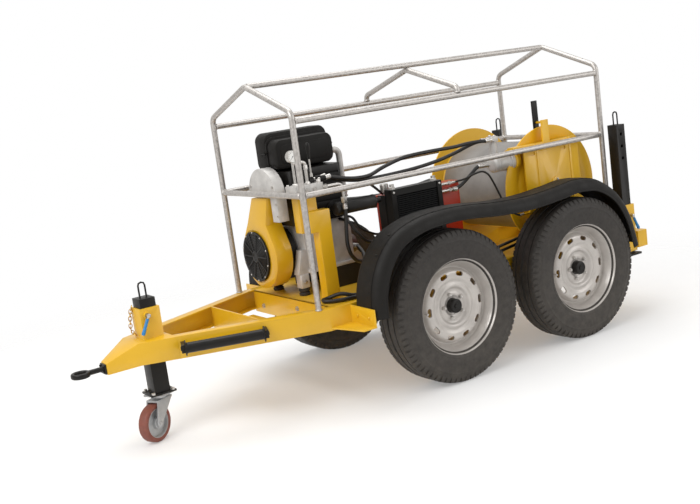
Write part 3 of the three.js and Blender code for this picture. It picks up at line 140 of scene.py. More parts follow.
def surface(name, code, rough, grain, depth, mottle, spread, metal=0.0, coat=0.0, dust=0.0, gloss=0.5):
    """A base colour with soft mottling, a fine bump, and dust that gathers low down."""
    material, tree, shader, place = new_material(name)
    base = linear(code)
    blotch = remap(tree, noise(tree, place, mottle), 0.3, 0.7, 0.0, 1.0)
    color = mix(tree, blotch, shade(base, 1 - spread), shade(base, 1 + spread / 2))
    if dust:
        split = add_node(tree, "SeparateXYZ", (place, 0))
        low = remap(tree, split.outputs["Z"], 0.0, DUST_TOP, dust, 0.0)
        speck = add_node(tree, "Math", (low, 0), (noise(tree, place, 30, 5), 1))
        speck.operation = "MULTIPLY"
        color = mix(tree, speck.outputs[0], color, DUST)
    tree.links.new(color, shader.inputs["Base Color"])
    fine = noise(tree, place, grain, 2)
    tree.links.new(remap(tree, noise(tree, place, mottle * 3), 0.3, 0.7, rough * 0.85, rough * 1.15),
                   shader.inputs["Roughness"])
    shader.inputs["Metallic"].default_value = metal
    shader.inputs["Coat Weight"].default_value = coat
    shader.inputs["Coat Roughness"].default_value = 0.12
    shader.inputs["Specular IOR Level"].default_value = gloss
    bump(tree, shader, fine, depth, GRAIN_HEIGHT)
    return material


def galvanised(name, code, rough):
    """Zinc with its patchwork of dull and bright crystals."""
    material, tree, shader, place = new_material(name)
    base = linear(code)
    cells = add_node(tree, "TexVoronoi", (place, "Vector"), Scale=110)
    tint = remap(tree, cells.outputs["Color"], 0.0, 1.0, 0.0, 1.0)
    tree.links.new(mix(tree, tint, shade(base, 0.78), shade(base, 1.12)), shader.inputs["Base Color"])
    tree.links.new(remap(tree, tint, 0.0, 1.0, rough * 0.8, rough * 1.25), shader.inputs["Roughness"])
    shader.inputs["Metallic"].default_value = 0.75
    bump(tree, shader, noise(tree, place, 240, 3), 0.1, GRAIN_HEIGHT)
    return material


def ringed(name, code, rough, pitch):
    """Turned metal: fine rings round the Y axis of the drum."""
    material, tree, shader, place = new_material(name)
    base = linear(code)
    wave = add_node(tree, "TexWave", (place, "Vector"), Scale=pitch, Distortion=1.5)
    wave.bands_direction = "Y"
    blotch = remap(tree, noise(tree, place, 9, 5), 0.3, 0.7, 0.0, 1.0)
    tree.links.new(mix(tree, blotch, shade(base, 0.8), shade(base, 1.1)), shader.inputs["Base Color"])
    shader.inputs["Roughness"].default_value = rough
    shader.inputs["Metallic"].default_value = 0.35
    bump(tree, shader, wave.outputs["Fac"], 0.12, 0.0005)
    return material


yellow = surface("yellow_enamel", YELLOW, 0.34, 420, 0.08, 5, 0.07, coat=0.35)
yellow_dusty = surface("yellow_dusty", YELLOW, 0.4, 420, 0.1, 6, 0.1, coat=0.25, dust=0.35)
galv = galvanised("galvanised_tube", GALVANISED, 0.4)
zinc = surface("zinc_plate", ZINC, 0.3, 700, 0.1, 40, 0.18, metal=0.9)
cast = surface("cast_aluminium", CAST_GREY, 0.5, 380, 0.4, 22, 0.16, metal=0.35)
drum_grey = ringed("drum_core_grey", PRIMER, 0.45, 60)
black = surface("black_enamel", BLACK, 0.36, 500, 0.12, 16, 0.3, dust=0.03, gloss=0.3)
black_cast = surface("black_casting", BLACK, 0.5, 300, 0.45, 26, 0.35, dust=0.1)
plastic = surface("moulded_plastic", PLASTIC, 0.55, 1300, 0.35, 7, 0.12, dust=0.03, gloss=0.25)
rubber = surface("tyre_rubber", TYRE, 0.62, 700, 0.25, 30, 0.18, dust=0.22)
hose_rubber = surface("hose_rubber", HOSE, 0.42, 1500, 0.3, 40, 0.25)
white = surface("white_rim_paint", WHITE, 0.34, 500, 0.12, 18, 0.1, metal=0.3, coat=0.2, dust=0.12)
red = surface("red_tank_paint", RED, 0.36, 420, 0.1, 8, 0.12, coat=0.1, gloss=0.3)
blue = surface("blue_dipped_grip", BLUE, 0.42, 900, 0.2, 40, 0.12)
brown = surface("brown_castor_tread", BROWN, 0.55, 900, 0.25, 40, 0.18, dust=0.2)
pump_brown = surface("pump_brown_iron", PUMP, 0.5, 300, 0.45, 30, 0.3)
steel = surface("light_grey_steel", STEEL, 0.4, 600, 0.15, 30, 0.14, metal=0.45, dust=0.15)
cooler_fin = surface("cooler_fins", FIN, 0.5, 800, 0.1, 60, 0.2, metal=0.4)
gold = surface("gold_zinc_chain", GOLD, 0.32, 900, 0.1, 60, 0.2, metal=0.9)
dial_white = surface("dial_white", DIAL, 0.3, 1500, 0.03, 30, 0.03, coat=0.6)
floor_paint = surface("studio_floor", FLOOR, 0.9, 40, 0.02, 2, 0.02)


# Mesh helpers, in metres
def new_object(name, data):
    obj = bpy.data.objects.new(name, data)
    SCENE.collection.objects.link(obj)
    return obj


def finish_mesh(bm, name, material, smooth_angle=35.0, body=ROOT):
    bmesh.ops.remove_doubles(bm, verts=bm.verts, dist=1e-6)
    bmesh.ops.recalc_face_normals(bm, faces=bm.faces)
    mesh = bpy.data.meshes.new(name)
    bm.to_mesh(mesh)
    bm.free()
    obj = new_object(name, mesh)
    for item in (material if isinstance(material, list) else [material]):
        mesh.materials.append(item)
    mesh.polygons.foreach_set("use_smooth", [True] * len(mesh.polygons))
    mesh.set_sharp_from_angle(angle=math.radians(smooth_angle))
    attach(obj, body)
    return obj


def soften(obj, width, angle=30):
    """Rounds the sharp edges; the width is in millimetres."""
    bevel = obj.modifiers.new("edges", "BEVEL")
    bevel.width = width * MM
    bevel.segments = 2
    bevel.limit_method = "ANGLE"
    bevel.angle_limit = math.radians(angle)


def frame_of(axis, up=UP):
    """Matrix whose Z runs along the axis and whose X leans towards up."""
    z = Vector(axis).normalized()
    x = Vector(up)
    if abs(x.normalized().dot(z)) > 0.99:
        x = Vector(REARWARD)
    y = z.cross(x).normalized()
    x = y.cross(z)
    return Matrix((x, y, z)).transposed()


def circle(count, start=0.0):
    """Angles of evenly spaced points, with the first one turned by a share of a step."""
    return [2 * math.pi * (i + start) / count for i in range(count)]


def around(center, axis, radius, angle, height):
    """A place about an axis; radius and height are in millimetres."""
    local = Vector((radius * math.cos(angle), radius * math.sin(angle), height))
    return center + frame_of(axis) @ (local * MM)


def sweep(points, steps):
    """Smooth run through the points (Catmull-Rom)."""
    out = []
    for i in range(len(points) - 1):
        p0 = points[max(i - 1, 0)]
        p1, p2 = points[i], points[i + 1]
        p3 = points[min(i + 2, len(points) - 1)]
        for s in range(steps):
            t = s / steps
            out.append(0.5 * ((2 * p1) + (p2 - p0) * t + (2 * p0 - 5 * p1 + 4 * p2 - p3) * t * t
                              + (3 * p1 - p0 - 3 * p2 + p3) * t ** 3))
    out.append(points[-1])
    return out


def bent(corners, bend, steps):
    """Run through the corners, each rounded by a bend of the given radius in metres."""
    points = [corners[0]]
    for i in range(1, len(corners) - 1):
        back = (corners[i - 1] - corners[i]).normalized()
        on = (corners[i + 1] - corners[i]).normalized()
        reach = bend / math.tan(back.angle(on) / 2)
        a, b = corners[i] + back * reach, corners[i] + on * reach
        for s in range(steps + 1):
            t = s / steps
            points.append(a * (1 - t) ** 2 + corners[i] * (2 * t * (1 - t)) + b * t * t)
    points.append(corners[-1])
    return points


def stations(places):
    """Vectors in metres from places that are stations or already vectors."""
    return [p if isinstance(p, Vector) else at(*p) for p in places]


BOX_FACES = ((0, 1, 3, 2), (4, 6, 7, 5), (0, 4, 5, 1), (2, 3, 7, 6), (0, 2, 6, 4), (1, 5, 7, 3))


class Piece:
    """A mesh in the making, sized in millimetres; a place is a station or a vector in metres."""

    def __init__(self):
        self.bm = bmesh.new()

    def ring(self, points):
        return [self.bm.verts.new(p) for p in points]

    def bridge(self, rings, mat=0, closed=False):
        """Faces between rings of equally many corners."""
        count = len(rings[0])
        pairs = list(zip(rings, rings[1:])) + ([(rings[-1], rings[0])] if closed else [])
        for a, b in pairs:
            for k in range(count):
                n = (k + 1) % count
                self.bm.faces.new((a[k], a[n], b[n], b[k])).material_index = mat

    def close_ends(self, rings, mat=0):
        self.bm.faces.new(list(reversed(rings[0]))).material_index = mat
        self.bm.faces.new(rings[-1]).material_index = mat

    def turned(self, place, axis, profile, sides=32, mat=0):
        """Turns an open or closed outline of (radius, height) pairs about an axis."""
        center, = stations([place])
        turn = frame_of(axis)
        rings = []
        for radius, height in profile:
            angles = circle(sides) if radius else [0]
            rings.append(self.ring(center + turn @ Vector((radius * math.cos(a), radius * math.sin(a),
                                                           height)) * MM for a in angles))
        for low, high in zip(rings, rings[1:]):
            for i in range(sides):
                j = (i + 1) % sides
                corners = [low[i % len(low)], low[j % len(low)], high[j % len(high)], high[i % len(high)]]
                unique = list(dict.fromkeys(corners))
                if len(unique) > 2:
                    self.bm.faces.new(unique).material_index = mat

    def bolts(self, places, axis, across, height, mat=0, washer=0):
        """Hexagon heads with a chamfered crown, each on an optional washer."""
        r = across / math.sqrt(3)
        base = height * 0.2 if washer else 0
        crown = [(0, base * 0.5), (r, base * 0.5), (r, base + height * 0.85), (r * 0.86, base + height),
                 (0, base + height)]
        for place in places:
            if washer:
                self.turned(place, axis, [(0, 0), (washer, 0), (washer, base), (0, base)], 20, mat)
            self.turned(place, axis, crown, 6, mat)

    def box(self, low, high, mat=0):
        corners = self.ring(at(x, y, z) for x in (low[0], high[0]) for y in (low[1], high[1])
                            for z in (low[2], high[2]))
        for face in BOX_FACES:
            self.bm.faces.new([corners[i] for i in face]).material_index = mat

    def prism(self, outline, along):
        """An outline of points, carried along a vector."""
        rings = [self.ring(outline), self.ring(p + along for p in outline)]
        self.bridge(rings)
        self.close_ends(rings)

    def rounded(self, low, high, radius, axis, steps, crown):
        """Soft-edged tub: rounded in the plane square to the axis, with domed ends."""
        u, v, w = {"x": (1, 2, 0), "y": (0, 2, 1), "z": (0, 1, 2)}[axis]
        mid = [(a + b) / 2 for a, b in zip(low, high)]
        size = [(b - a) / 2 for a, b in zip(low, high)]
        shape = [(size[w], crown), (size[w] - crown * 0.3, crown * 0.3), (size[w] - crown, 0)]
        layers = [(-depth, inset) for depth, inset in shape] + list(reversed(shape))
        rings = []
        for depth, inset in layers:
            r = max(radius - inset, 1)
            points = []
            for su, sv, start in ((1, 1, 0), (-1, 1, 90), (-1, -1, 180), (1, -1, 270)):
                for i in range(steps + 1):
                    a = math.radians(start + 90 * i / steps)
                    p = [0, 0, 0]
                    p[u] = mid[u] + su * (size[u] - inset - r) + r * math.cos(a)
                    p[v] = mid[v] + sv * (size[v] - inset - r) + r * math.sin(a)
                    p[w] = mid[w] + depth
                    points.append(at(*p))
            rings.append(self.ring(points))
        self.bridge(rings)
        self.close_ends(rings)

    def tube(self, places, radius, sides=10, mat=0, bend=0, steps=8, closed=False):
        """Round bar along a run of places, with flat ends or closed in itself."""
        run = stations(places)
        if bend:
            run = bent(run, bend * MM, steps)
        count = len(run)
        normal = None
        rings = []
        for i, point in enumerate(run):
            before = run[i - 1] if i or closed else point
            after = run[(i + 1) % count] if i < count - 1 or closed else point
            along = (after - before).normalized()
            if normal is None:
                normal = along.orthogonal().normalized()
            normal = (normal - along * normal.dot(along)).normalized()
            side = along.cross(normal)
            rings.append(self.ring(point + (normal * math.cos(a) + side * math.sin(a)) * radius * MM
                                   for a in circle(sides)))
        self.bridge(rings, mat, closed)
        if not closed:
            self.close_ends(rings, mat)

    def done(self, name, material, angle=35.0, body=ROOT, replaces=None, edges=0):
        """Finishes the mesh, on a body and in a node's place."""
        obj = finish_mesh(self.bm, name, material, angle, body)
        if edges:
            soften(obj, edges)
        if replaces:
            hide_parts(replaces)
        return obj


# Camera, in the place and turn that the photograph's own lines give
CAMERA = {"lens": 51.19, "sensor": 36.0, "far": 60, "place": (-2.63204, -3.99086, 1.43263),
          "yaw": -0.5733, "pitch": 0.1744, "roll": -0.1348}


def set_camera():
    c = CAMERA
    camera = bpy.data.cameras.new("camera")
    camera.lens = c["lens"]
    camera.sensor_width = c["sensor"]
    camera.clip_end = c["far"]
    obj = new_object("camera", camera)
    obj.location = c["place"]
    yaw, pitch, roll = c["yaw"], c["pitch"], c["roll"]
    forward = Vector((-math.sin(yaw) * math.cos(pitch), math.cos(yaw) * math.cos(pitch), -math.sin(pitch)))
    right = Vector((math.cos(yaw), math.sin(yaw), 0))
    up = right.cross(forward)
    local_x = math.cos(roll) * right + math.sin(roll) * up
    local_y = -math.sin(roll) * right + math.cos(roll) * up
    obj.rotation_mode = "QUATERNION"
    obj.rotation_quaternion = Matrix((local_x, local_y, -forward)).transposed().to_quaternion()
    SCENE.camera = obj


set_camera()


# Hoses: radius and route. Each starts at the mouth of its fitting and ends on a fitting of the machine.
HOSES = {
    "motor_feed_hose": (9, [(-799.7, -222, 1000), (-775, -222, 1000), (-700, -218, 981), (-625, -215, 969),
                            (-548, -214, 970), (-468, -216, 995), (-345, -222, 1021), (-200, -229, 1026),
                            (-60, -240, 1025), (20, -249, 1030), (85, -259, 1030), (130.7, -261, 1027),
                            (155.7, -261, 1027)]),
    "motor_return_hose": (9, [(-799.7, -182, 1000), (-775, -182, 1000), (-690, -183, 972), (-600, -185, 955),
                              (-500, -187, 950), (-380, -187, 951), (-250, -190, 957), (-125, -196, 971),
                              (-20, -205, 993), (70, -223, 1020), (130.7, -229, 1027), (155.7, -229, 1027)]),
    "cooler_hose": (9, [(-84.7, -226, 822), (-60, -226, 822), (-20, -226, 836), (40, -227.5, 873),
                        (75, -228.7, 897), (94.7, -228.7, 905), (119.7, -228.7, 905)]),
    "drain_hose": (5, [(-84.7, -226, 856), (-60, -226, 856), (-10, -243, 862), (30, -270, 880),
                       (62, -290, 886), (90, -300, 868), (112, -304, 830), (135, -306, 780),
                       (160, -309, 725), (190, -324, 668), (228, -339, 640), (261.7, -339, 640)]),
    "pump_hose": (9, [(-722, -236, 871.7), (-722, -236, 850), (-728, -240, 800), (-738, -244, 740),
                      (-742, -245, 690), (-728, -238, 640), (-695, -222, 602), (-650, -195, 580),
                      (-600, -150, 574), (-562, -95, 590), (-547, -45, 612), (-545.4, -22, 622),
                      (-545.4, 2.7, 622)]),
}
FERRULE_SWELL = 1.28


def add_ferrule(piece, start, toward, radius):
    """Zinc ferrule pressed over the hose end."""
    r = radius * FERRULE_SWELL
    dip = r * 0.93
    profile = [(radius * 0.9, 0), (r, 1.5), (r, 7), (dip, 9), (r, 11), (r, 17), (dip, 19), (r, 21), (r, 27),
               (radius * 1.01, 29)]
    piece.turned(start, (toward - start).normalized(), profile, 16)


def make_hose(name, radius, route):
    path = sweep(stations(route), 5)
    hose = Piece()
    hose.tube(path, radius, 14)
    hose = hose.done("looks_" + name, hose_rubber, replaces=name)
    ends = Piece()
    add_ferrule(ends, path[0], path[1], radius)
    add_ferrule(ends, path[-1], path[-2], radius)
    ends = ends.done("ferrules_" + name, zinc)


for hose_name, (hose_radius, hose_route) in HOSES.items():
    make_hose(hose_name, hose_radius, hose_route)


# Carried-over CAD nodes keep their mesh; modifiers round their edges and smooth their turned faces
SMOOTH_BELOW = 38


def smoothing_group():
    """Geometry nodes that smooth the faces and keep the steeper edges sharp."""
    group = bpy.data.node_groups.new("smooth_by_angle", "GeometryNodeTree")
    for way in ("INPUT", "OUTPUT"):
        group.interface.new_socket("Geometry", in_out=way, socket_type="NodeSocketGeometry")
    start = group.nodes.new("NodeGroupInput")
    end = group.nodes.new("NodeGroupOutput")
    faces = group.nodes.new("GeometryNodeSetShadeSmooth")
    edges = group.nodes.new("GeometryNodeSetShadeSmooth")
    edges.domain = "EDGE"
    angle = group.nodes.new("GeometryNodeInputMeshEdgeAngle")
    below = group.nodes.new("FunctionNodeCompare")
    below.operation = "LESS_THAN"
    below.inputs[1].default_value = math.radians(SMOOTH_BELOW)
    group.links.new(angle.outputs[0], below.inputs[0])
    group.links.new(start.outputs[0], faces.inputs["Geometry"])
    group.links.new(faces.outputs[0], edges.inputs["Geometry"])
    group.links.new(below.outputs[0], edges.inputs["Shade Smooth"])
    group.links.new(edges.outputs[0], end.inputs[0])
    return group


smoothing = smoothing_group()

MERGE = 1e-5
EDGE_ANGLE = 32

# Node, material and width of the rounded edge in millimetres
CARRIED = [
    ("drawbar_nose", yellow, 2), ("chassis_beam_near", yellow, 2), ("chassis_beam_far", yellow, 2),
    ("axle_rear", yellow_dusty, 1.5), ("rear_cross_beam", yellow, 2), ("axle_front", yellow_dusty, 1.5),
    ("jockey_leg", black, 1.5), ("castor_fork", steel, 1.5), ("stabiliser_leg_near", black, 1.5),
    ("stabiliser_leg_far", black, 1.5), ("blower_housing", yellow, 3), ("cylinder_head_cover", cast, 3),
    ("cylinder_cowl", black, 4), ("flywheel", black_cast, 2), ("crankcase", cast, 3),
    ("hydraulic_pump", pump_brown, 1.5), ("control_column", yellow, 2.5), ("drum_support_far", yellow, 2),
    ("drum_brake_lever", black, 1),
]


def carry(name, material, width):
    """Gives a carried-over node its material and soft edges."""
    node = nodes[name]
    node.material_slots[0].material = material
    node.modifiers.new("weld", "WELD").merge_threshold = MERGE
    soften(node, width, EDGE_ANGLE)
    node.modifiers.new("smooth", "NODES").node_group = smoothing


for carried in CARRIED:
    carry(*carried)


# Cage of galvanised tube
CAGE = {"tube": 13.5, "half": 369.5, "foot": 455.3, "shoulder": 1314, "front": -1014, "rear": 835,
        "ridge": 1443, "rail_x": (-1003, 824), "middle": -104, "middle_foot": 1289, "middle_top": 1420}
RAILS = (("cage_top_rail_near", -1, 1275), ("cage_top_rail_far", 1, 1275),
         ("cage_mid_rail_near", -1, 956), ("cage_mid_rail_far", 1, 956))
BEAD = 2.8
MID_RAIL_Z = 956


def add_bead(piece, place, axis):
    """Weld bead round the end of a cage tube."""
    r = CAGE["tube"]
    start = at(*place) - Vector(axis).normalized() * BEAD * MM
    profile = [(r, 0), (r + BEAD * 0.8, BEAD * 0.5), (r + BEAD, BEAD), (r + BEAD * 0.6, BEAD * 1.6),
               (r, BEAD * 2.2)]
    piece.turned(start, axis, profile, 20)


def add_hoop(piece, x, foot, apex, bend):
    half, shoulder = CAGE["half"], CAGE["shoulder"]
    corners = [(x, -half, foot), (x, -half, shoulder), (x, 0, apex), (x, half, shoulder), (x, half, foot)]
    piece.tube(corners, CAGE["tube"], 20, bend=bend)


def make_cage():
    c = CAGE
    x0, x1 = c["rail_x"]
    for name, x in (("front", c["front"]), ("rear", c["rear"])):
        hoop = Piece()
        add_hoop(hoop, x, c["foot"], c["ridge"], 45)
        hoop.tube([(x, -c["half"] + 12, MID_RAIL_Z), (x, c["half"] - 12, MID_RAIL_Z)], c["tube"], 20)
        for side in (-1, 1):
            add_bead(hoop, (x, side * (c["half"] - 14), MID_RAIL_Z), (0, side, 0))
            add_bead(hoop, (x, side * c["half"], c["foot"] + 2.2), UP)
        hoop.done("looks_cage_hoop_" + name, galv, 40, replaces="cage_hoop_" + name)
    for name, side, z in RAILS:
        rail = Piece()
        y = side * c["half"]
        rail.tube([(x0, y, z), (x1, y, z)], c["tube"], 20)
        add_bead(rail, (x0 + 2.5, y, z), REARWARD)
        add_bead(rail, (x1 - 2.5, y, z), FORWARD)
        rail.done("looks_" + name, galv, 40, replaces=name)
    ridge = Piece()
    ridge.tube([(x0, 0, c["ridge"]), (x1, 0, c["ridge"])], c["tube"], 20)
    add_hoop(ridge, c["middle"], c["middle_foot"], c["middle_top"], 28)
    for side in (-1, 1):
        add_bead(ridge, (c["middle"], side * c["half"], c["middle_foot"] + 0.5), UP)
    ridge.done("looks_cage_ridge_rail", galv, 40, replaces="cage_ridge_rail")


make_cage()


# Road wheels, in millimetres from the middle of the wheel
WHEELBASE_HALF = 403.5
WHEEL_Y = 501
WHEEL_Z = 349.5
WHEEL_SIDES = 96
VENTS = {"count": 10, "radius": 147.5, "half": (20.5, 10.2), "from": -10, "deep": 80}
NUTS = {"count": 5, "radius": 56, "height": 27.5}
LUGS = 72
LUG_SHARE = 0.74
LUG_SKEW = 0.15
LUG_TAPER = 0.06
RIM_FACE = [(219.5, 75.5), (222.5, 76.8), (223.2, 79), (221.5, 81.2), (218, 81.2), (215, 78.5), (213, 70),
            (208.5, 63), (204, 56), (200, 42), (193, 29), (185, 19), (179, 13), (174, 13), (170, 20),
            (166, 31), (161, 38), (154, 41.5), (142, 42.8), (130, 42.5), (122, 40), (117, 35.5),
            (112, 34), (106, 35.2), (101, 39.2), (96, 41), (90, 40), (85, 35), (81, 29), (77, 26),
            (70, 24.5), (64, 25), (60, 27.5), (53, 28.5), (47, 27.5), (43, 23.5), (38, 21.5), (33, 21)]
RIM_BACK = [(33, 15), (60, 19), (85, 24), (100, 31), (142, 36), (160, 30), (170, 5), (173, -30),
            (176, -55), (200, -62), (212, -72), (216, -80), (221.5, -81.2), (223.2, -79), (222.5, -76.8),
            (219, -75.5), (206, -65), (203, -48), (180, -40), (180, 8), (203, 50), (206, 64),
            (219.5, 75.5)]
TYRE_SIDE = [(206, 65.5), (215, 74), (218.5, 81.5), (223, 83.5), (229, 86), (233, 86.8), (234.5, 86),
             (240, 87.5), (255, 90), (272, 90.8), (288, 90), (299, 88.8), (302, 89.8), (304.5, 88.4),
             (316, 86.2), (327, 83), (334, 79), (340.5, 73)]
TREAD = [(346.2, 69), (349, 63), (350.2, 56), (350.4, 44), (345, 43), (343, 41.5), (345, 38.5),
         (350.6, 37.5), (351, 6.5), (345, 5), (343, 3)]
# Height, foot radius and top radius of a shoulder lug
SHOULDER = [(61.0, 344.0, 350.3), (73.5, 338.0, 346.8), (81.2, 330.0, 338.5), (85.2, 321.0, 327.0)]
HUB_CAP = [(0, 16), (34.5, 16), (34.5, 22.5), (32.8, 24), (32.8, 48), (30.5, 52.5), (25, 54.5), (24, 53),
           (12, 52.5), (11, 56), (0, 56.5)]


def carve(obj, cutter):
    """Cuts the shape of an unfinished piece out of an object."""
    mesh = bpy.data.meshes.new("cutter")
    bmesh.ops.recalc_face_normals(cutter.bm, faces=cutter.bm.faces)
    cutter.bm.to_mesh(mesh)
    cutter.bm.free()
    tool = new_object("cutter", mesh)
    knife = obj.modifiers.new("cut", "BOOLEAN")
    knife.operation = "DIFFERENCE"
    knife.solver = "EXACT"
    knife.object = tool
    graph = bpy.context.evaluated_depsgraph_get()
    result = bpy.data.meshes.new_from_object(obj.evaluated_get(graph))
    obj.modifiers.remove(knife)
    bpy.data.objects.remove(tool)
    bpy.data.meshes.remove(mesh)
    obj.data = result


def stadium(long_half, round_half, steps=8):
    points = []
    for sign, start in ((1, -math.pi / 2), (-1, math.pi / 2)):
        for i in range(steps + 1):
            a = start + math.pi * i / steps
            points.append((sign * (long_half - round_half) + round_half * math.cos(a),
                           round_half * math.sin(a)))
    return points


def make_rim(name, center, axis, body):
    rim = Piece()
    rim.turned(center, axis, RIM_FACE + RIM_BACK, WHEEL_SIDES)
    rim = rim.done("looks_" + name, white, 40, body)
    turn = frame_of(axis)
    vents = Piece()
    for a in circle(VENTS["count"], 0.5):
        spin = Matrix.Rotation(a, 3, "Z")
        slot = [center + turn @ (spin @ Vector((VENTS["radius"] + v, u, VENTS["from"]))) * MM
                for u, v in stadium(*VENTS["half"])]
        vents.prism(slot, axis * VENTS["deep"] * MM)
    carve(rim, vents)
    rim.data.set_sharp_from_angle(angle=math.radians(40))
    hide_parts(name)
    cap = Piece()
    cap.turned(center, axis, HUB_CAP, 40)
    cap.done("hub_cap_" + name, black, 35, body)
    nuts = Piece()
    for a in circle(NUTS["count"], 0.25):
        place = around(center, axis, NUTS["radius"], a, NUTS["height"])
        nuts.bolts([place], axis, 17, 12)
        nuts.turned(place, axis, [(6.5, 10), (6, 15.5), (3.5, 18), (0, 18.5)], 14)
    nub = center + turn @ Vector((-34, 4, 40)) * MM
    nuts.turned(nub, axis, [(0, 0), (5, 0), (5, 5), (3, 7.5), (0, 8)], 12)
    valve = center + turn @ Vector((0, 166, 34)) * MM
    nuts.tube([valve, valve + axis * 18 * MM], 4, 10)
    nuts.done("wheel_nuts_" + name, zinc, 30, body)


def add_lug(tyre, center, axis, a0, a1, rows, skew):
    """A tread block: rows are (height, foot radius, top radius) across the tyre."""
    low, high = [], []
    inset = (a1 - a0) * LUG_TAPER
    for i, (height, foot, top) in enumerate(rows):
        shift = skew * i / (len(rows) - 1)
        low.append(tyre.ring(around(center, axis, foot, a + shift, height) for a in (a0, a1)))
        high.append(tyre.ring(around(center, axis, top, a + shift, height) for a in (a0 + inset, a1 - inset)))
    new_face = tyre.bm.faces.new
    for i in range(len(rows) - 1):
        new_face((high[i][0], high[i][1], high[i + 1][1], high[i + 1][0]))
        new_face((low[i][0], high[i][0], high[i + 1][0], low[i + 1][0]))
        new_face((low[i][1], low[i + 1][1], high[i + 1][1], high[i][1]))
    for i in (0, len(rows) - 1):
        new_face((low[i][0], low[i][1], high[i][1], high[i][0]))


def make_tyre(name, center, axis, body):
    tyre = Piece()
    outer = TYRE_SIDE + TREAD
    tyre.turned(center, axis, outer + [(r, -h) for r, h in reversed(outer)], WHEEL_SIDES)
    pitch = 2 * math.pi / LUGS
    for i in range(LUGS):
        for sign in (-1, 1):
            a = (i + (0.5 if sign > 0 else 0)) * pitch
            rows = [(sign * height, foot, top) for height, foot, top in SHOULDER]
            add_lug(tyre, center, axis, a, a + pitch * LUG_SHARE, rows, -sign * pitch * LUG_SKEW)
    tyre.done("looks_" + name, rubber, 30, body, replaces=name)


for wheel_place, wheel_x in (("front", -WHEELBASE_HALF), ("rear", WHEELBASE_HALF)):
    for wheel_flank, wheel_side in (("near", -1), ("far", 1)):
        wheel_name = f"{wheel_place}_{wheel_flank}"
        wheel_center = at(wheel_x, wheel_side * WHEEL_Y, WHEEL_Z)
        wheel_axis = Vector((0, wheel_side, 0))
        make_rim("rim_" + wheel_name, wheel_center, wheel_axis, "wheel_" + wheel_name)
        make_tyre("tyre_" + wheel_name, wheel_center, wheel_axis, "wheel_" + wheel_name)

# Moulded fenders, one over both wheels of a side; the path is in shares of its length and height
FENDER_PATH = [(0, 0), (0.007, 0.304), (0.037, 0.608), (0.093, 0.848), (0.174, 0.97), (0.263, 1),
               (0.346, 0.987), (0.454, 0.937), (0.573, 0.919), (0.68, 0.949), (0.763, 0.98), (0.846, 0.924),
               (0.924, 0.709), (0.974, 0.38), (1, -0.02)]
FENDER = {"x": -862, "long": 1685.7, "y": 495.5, "z": 400, "high": 395, "half": 92.5, "corner": 46,
          "skirt": -58, "wall": 5, "lip_y": 90.5, "lip_z": -56.5, "lip": 4.5}
RIVET_X = (-790, -700, 640, 720)
RIVET = [(0, 0), (8, 0), (7, 2.5), (0, 3.5)]


def fender_section():
    half, corner, wall = FENDER["half"], FENDER["corner"], FENDER["wall"]
    outer = [(-half, FENDER["skirt"]), (-half, -corner)]
    for i in range(1, 7):
        a = math.pi - i * math.pi / 12
        outer.append((-half + corner + corner * math.cos(a), -corner + corner * math.sin(a)))
    outer += [(-half * 0.55, 1.5), (0, 3)]
    full = outer + [(-a, b) for a, b in reversed(outer[:-1])]
    inner = [(a * (1 - wall / half), b - wall if b > -corner else b) for a, b in full]
    return full + list(reversed(inner))


def across_path(path, side, places):
    """For each point of a path, the (across, up) places about it."""
    rings = []
    for i, point in enumerate(path):
        along = (path[min(i + 1, len(path) - 1)] - path[max(i - 1, 0)]).normalized()
        up = Vector((-along.z, 0, along.x))
        rings.append([point + Vector((0, side * a * MM, 0)) + up * (b * MM) for a, b in places])
    return rings


def add_fender_shell(fender, path, side):
    rings = [fender.ring(ring) for ring in across_path(path, side, fender_section())]
    fender.bridge(rings)
    count = len(rings[0])
    for ring, flip in ((rings[0], False), (rings[-1], True)):
        for k in range(count // 2 - 1):
            quad = (ring[k], ring[k + 1], ring[count - 2 - k], ring[count - 1 - k])
            fender.bm.faces.new(tuple(reversed(quad)) if flip else quad)


def make_fender(name, side):
    f = FENDER
    path = sweep([at(f["x"] + a * f["long"], side * f["y"], f["z"] + b * f["high"])
                  for a, b in FENDER_PATH], 5)
    fender = Piece()
    add_fender_shell(fender, path, side)
    fender.tube([ring[0] for ring in across_path(path, side, [(f["lip_y"], f["lip_z"])])], f["lip"], 8)
    fender.done("looks_" + name, plastic, 50, replaces=name)
    rivets = Piece()
    for x in RIVET_X:
        top = min(path, key=lambda p: abs(p.x - at(x, 0, 0).x))
        rivets.turned(top + Vector((0, side * 30, 1.8)) * MM, UP, RIVET, 16)
    rivets.done("fender_rivets_" + name, plastic, 40)


make_fender("fender_near", -1)
make_fender("fender_far", 1)


# Power unit
SCREW = [(0, 0), (4.2, 0), (4.2, 1.2), (3, 2.6), (0, 3)]
GRILLE = {"place": (-1003.5, 156, 652), "rings": (40, 52, 64, 76, 88, 100), "ribs": 10, "screws": 115.2}
GRILLE_DISC = [(0, -4.5), (120, -4.5), (120, 1.5), (118, 3.5), (113, 3.5), (111, 1.5), (106, 0.5),
               (30, 0.5), (28.5, 3.5), (26, 5), (18, 5.5), (16, 3), (0, 3)]


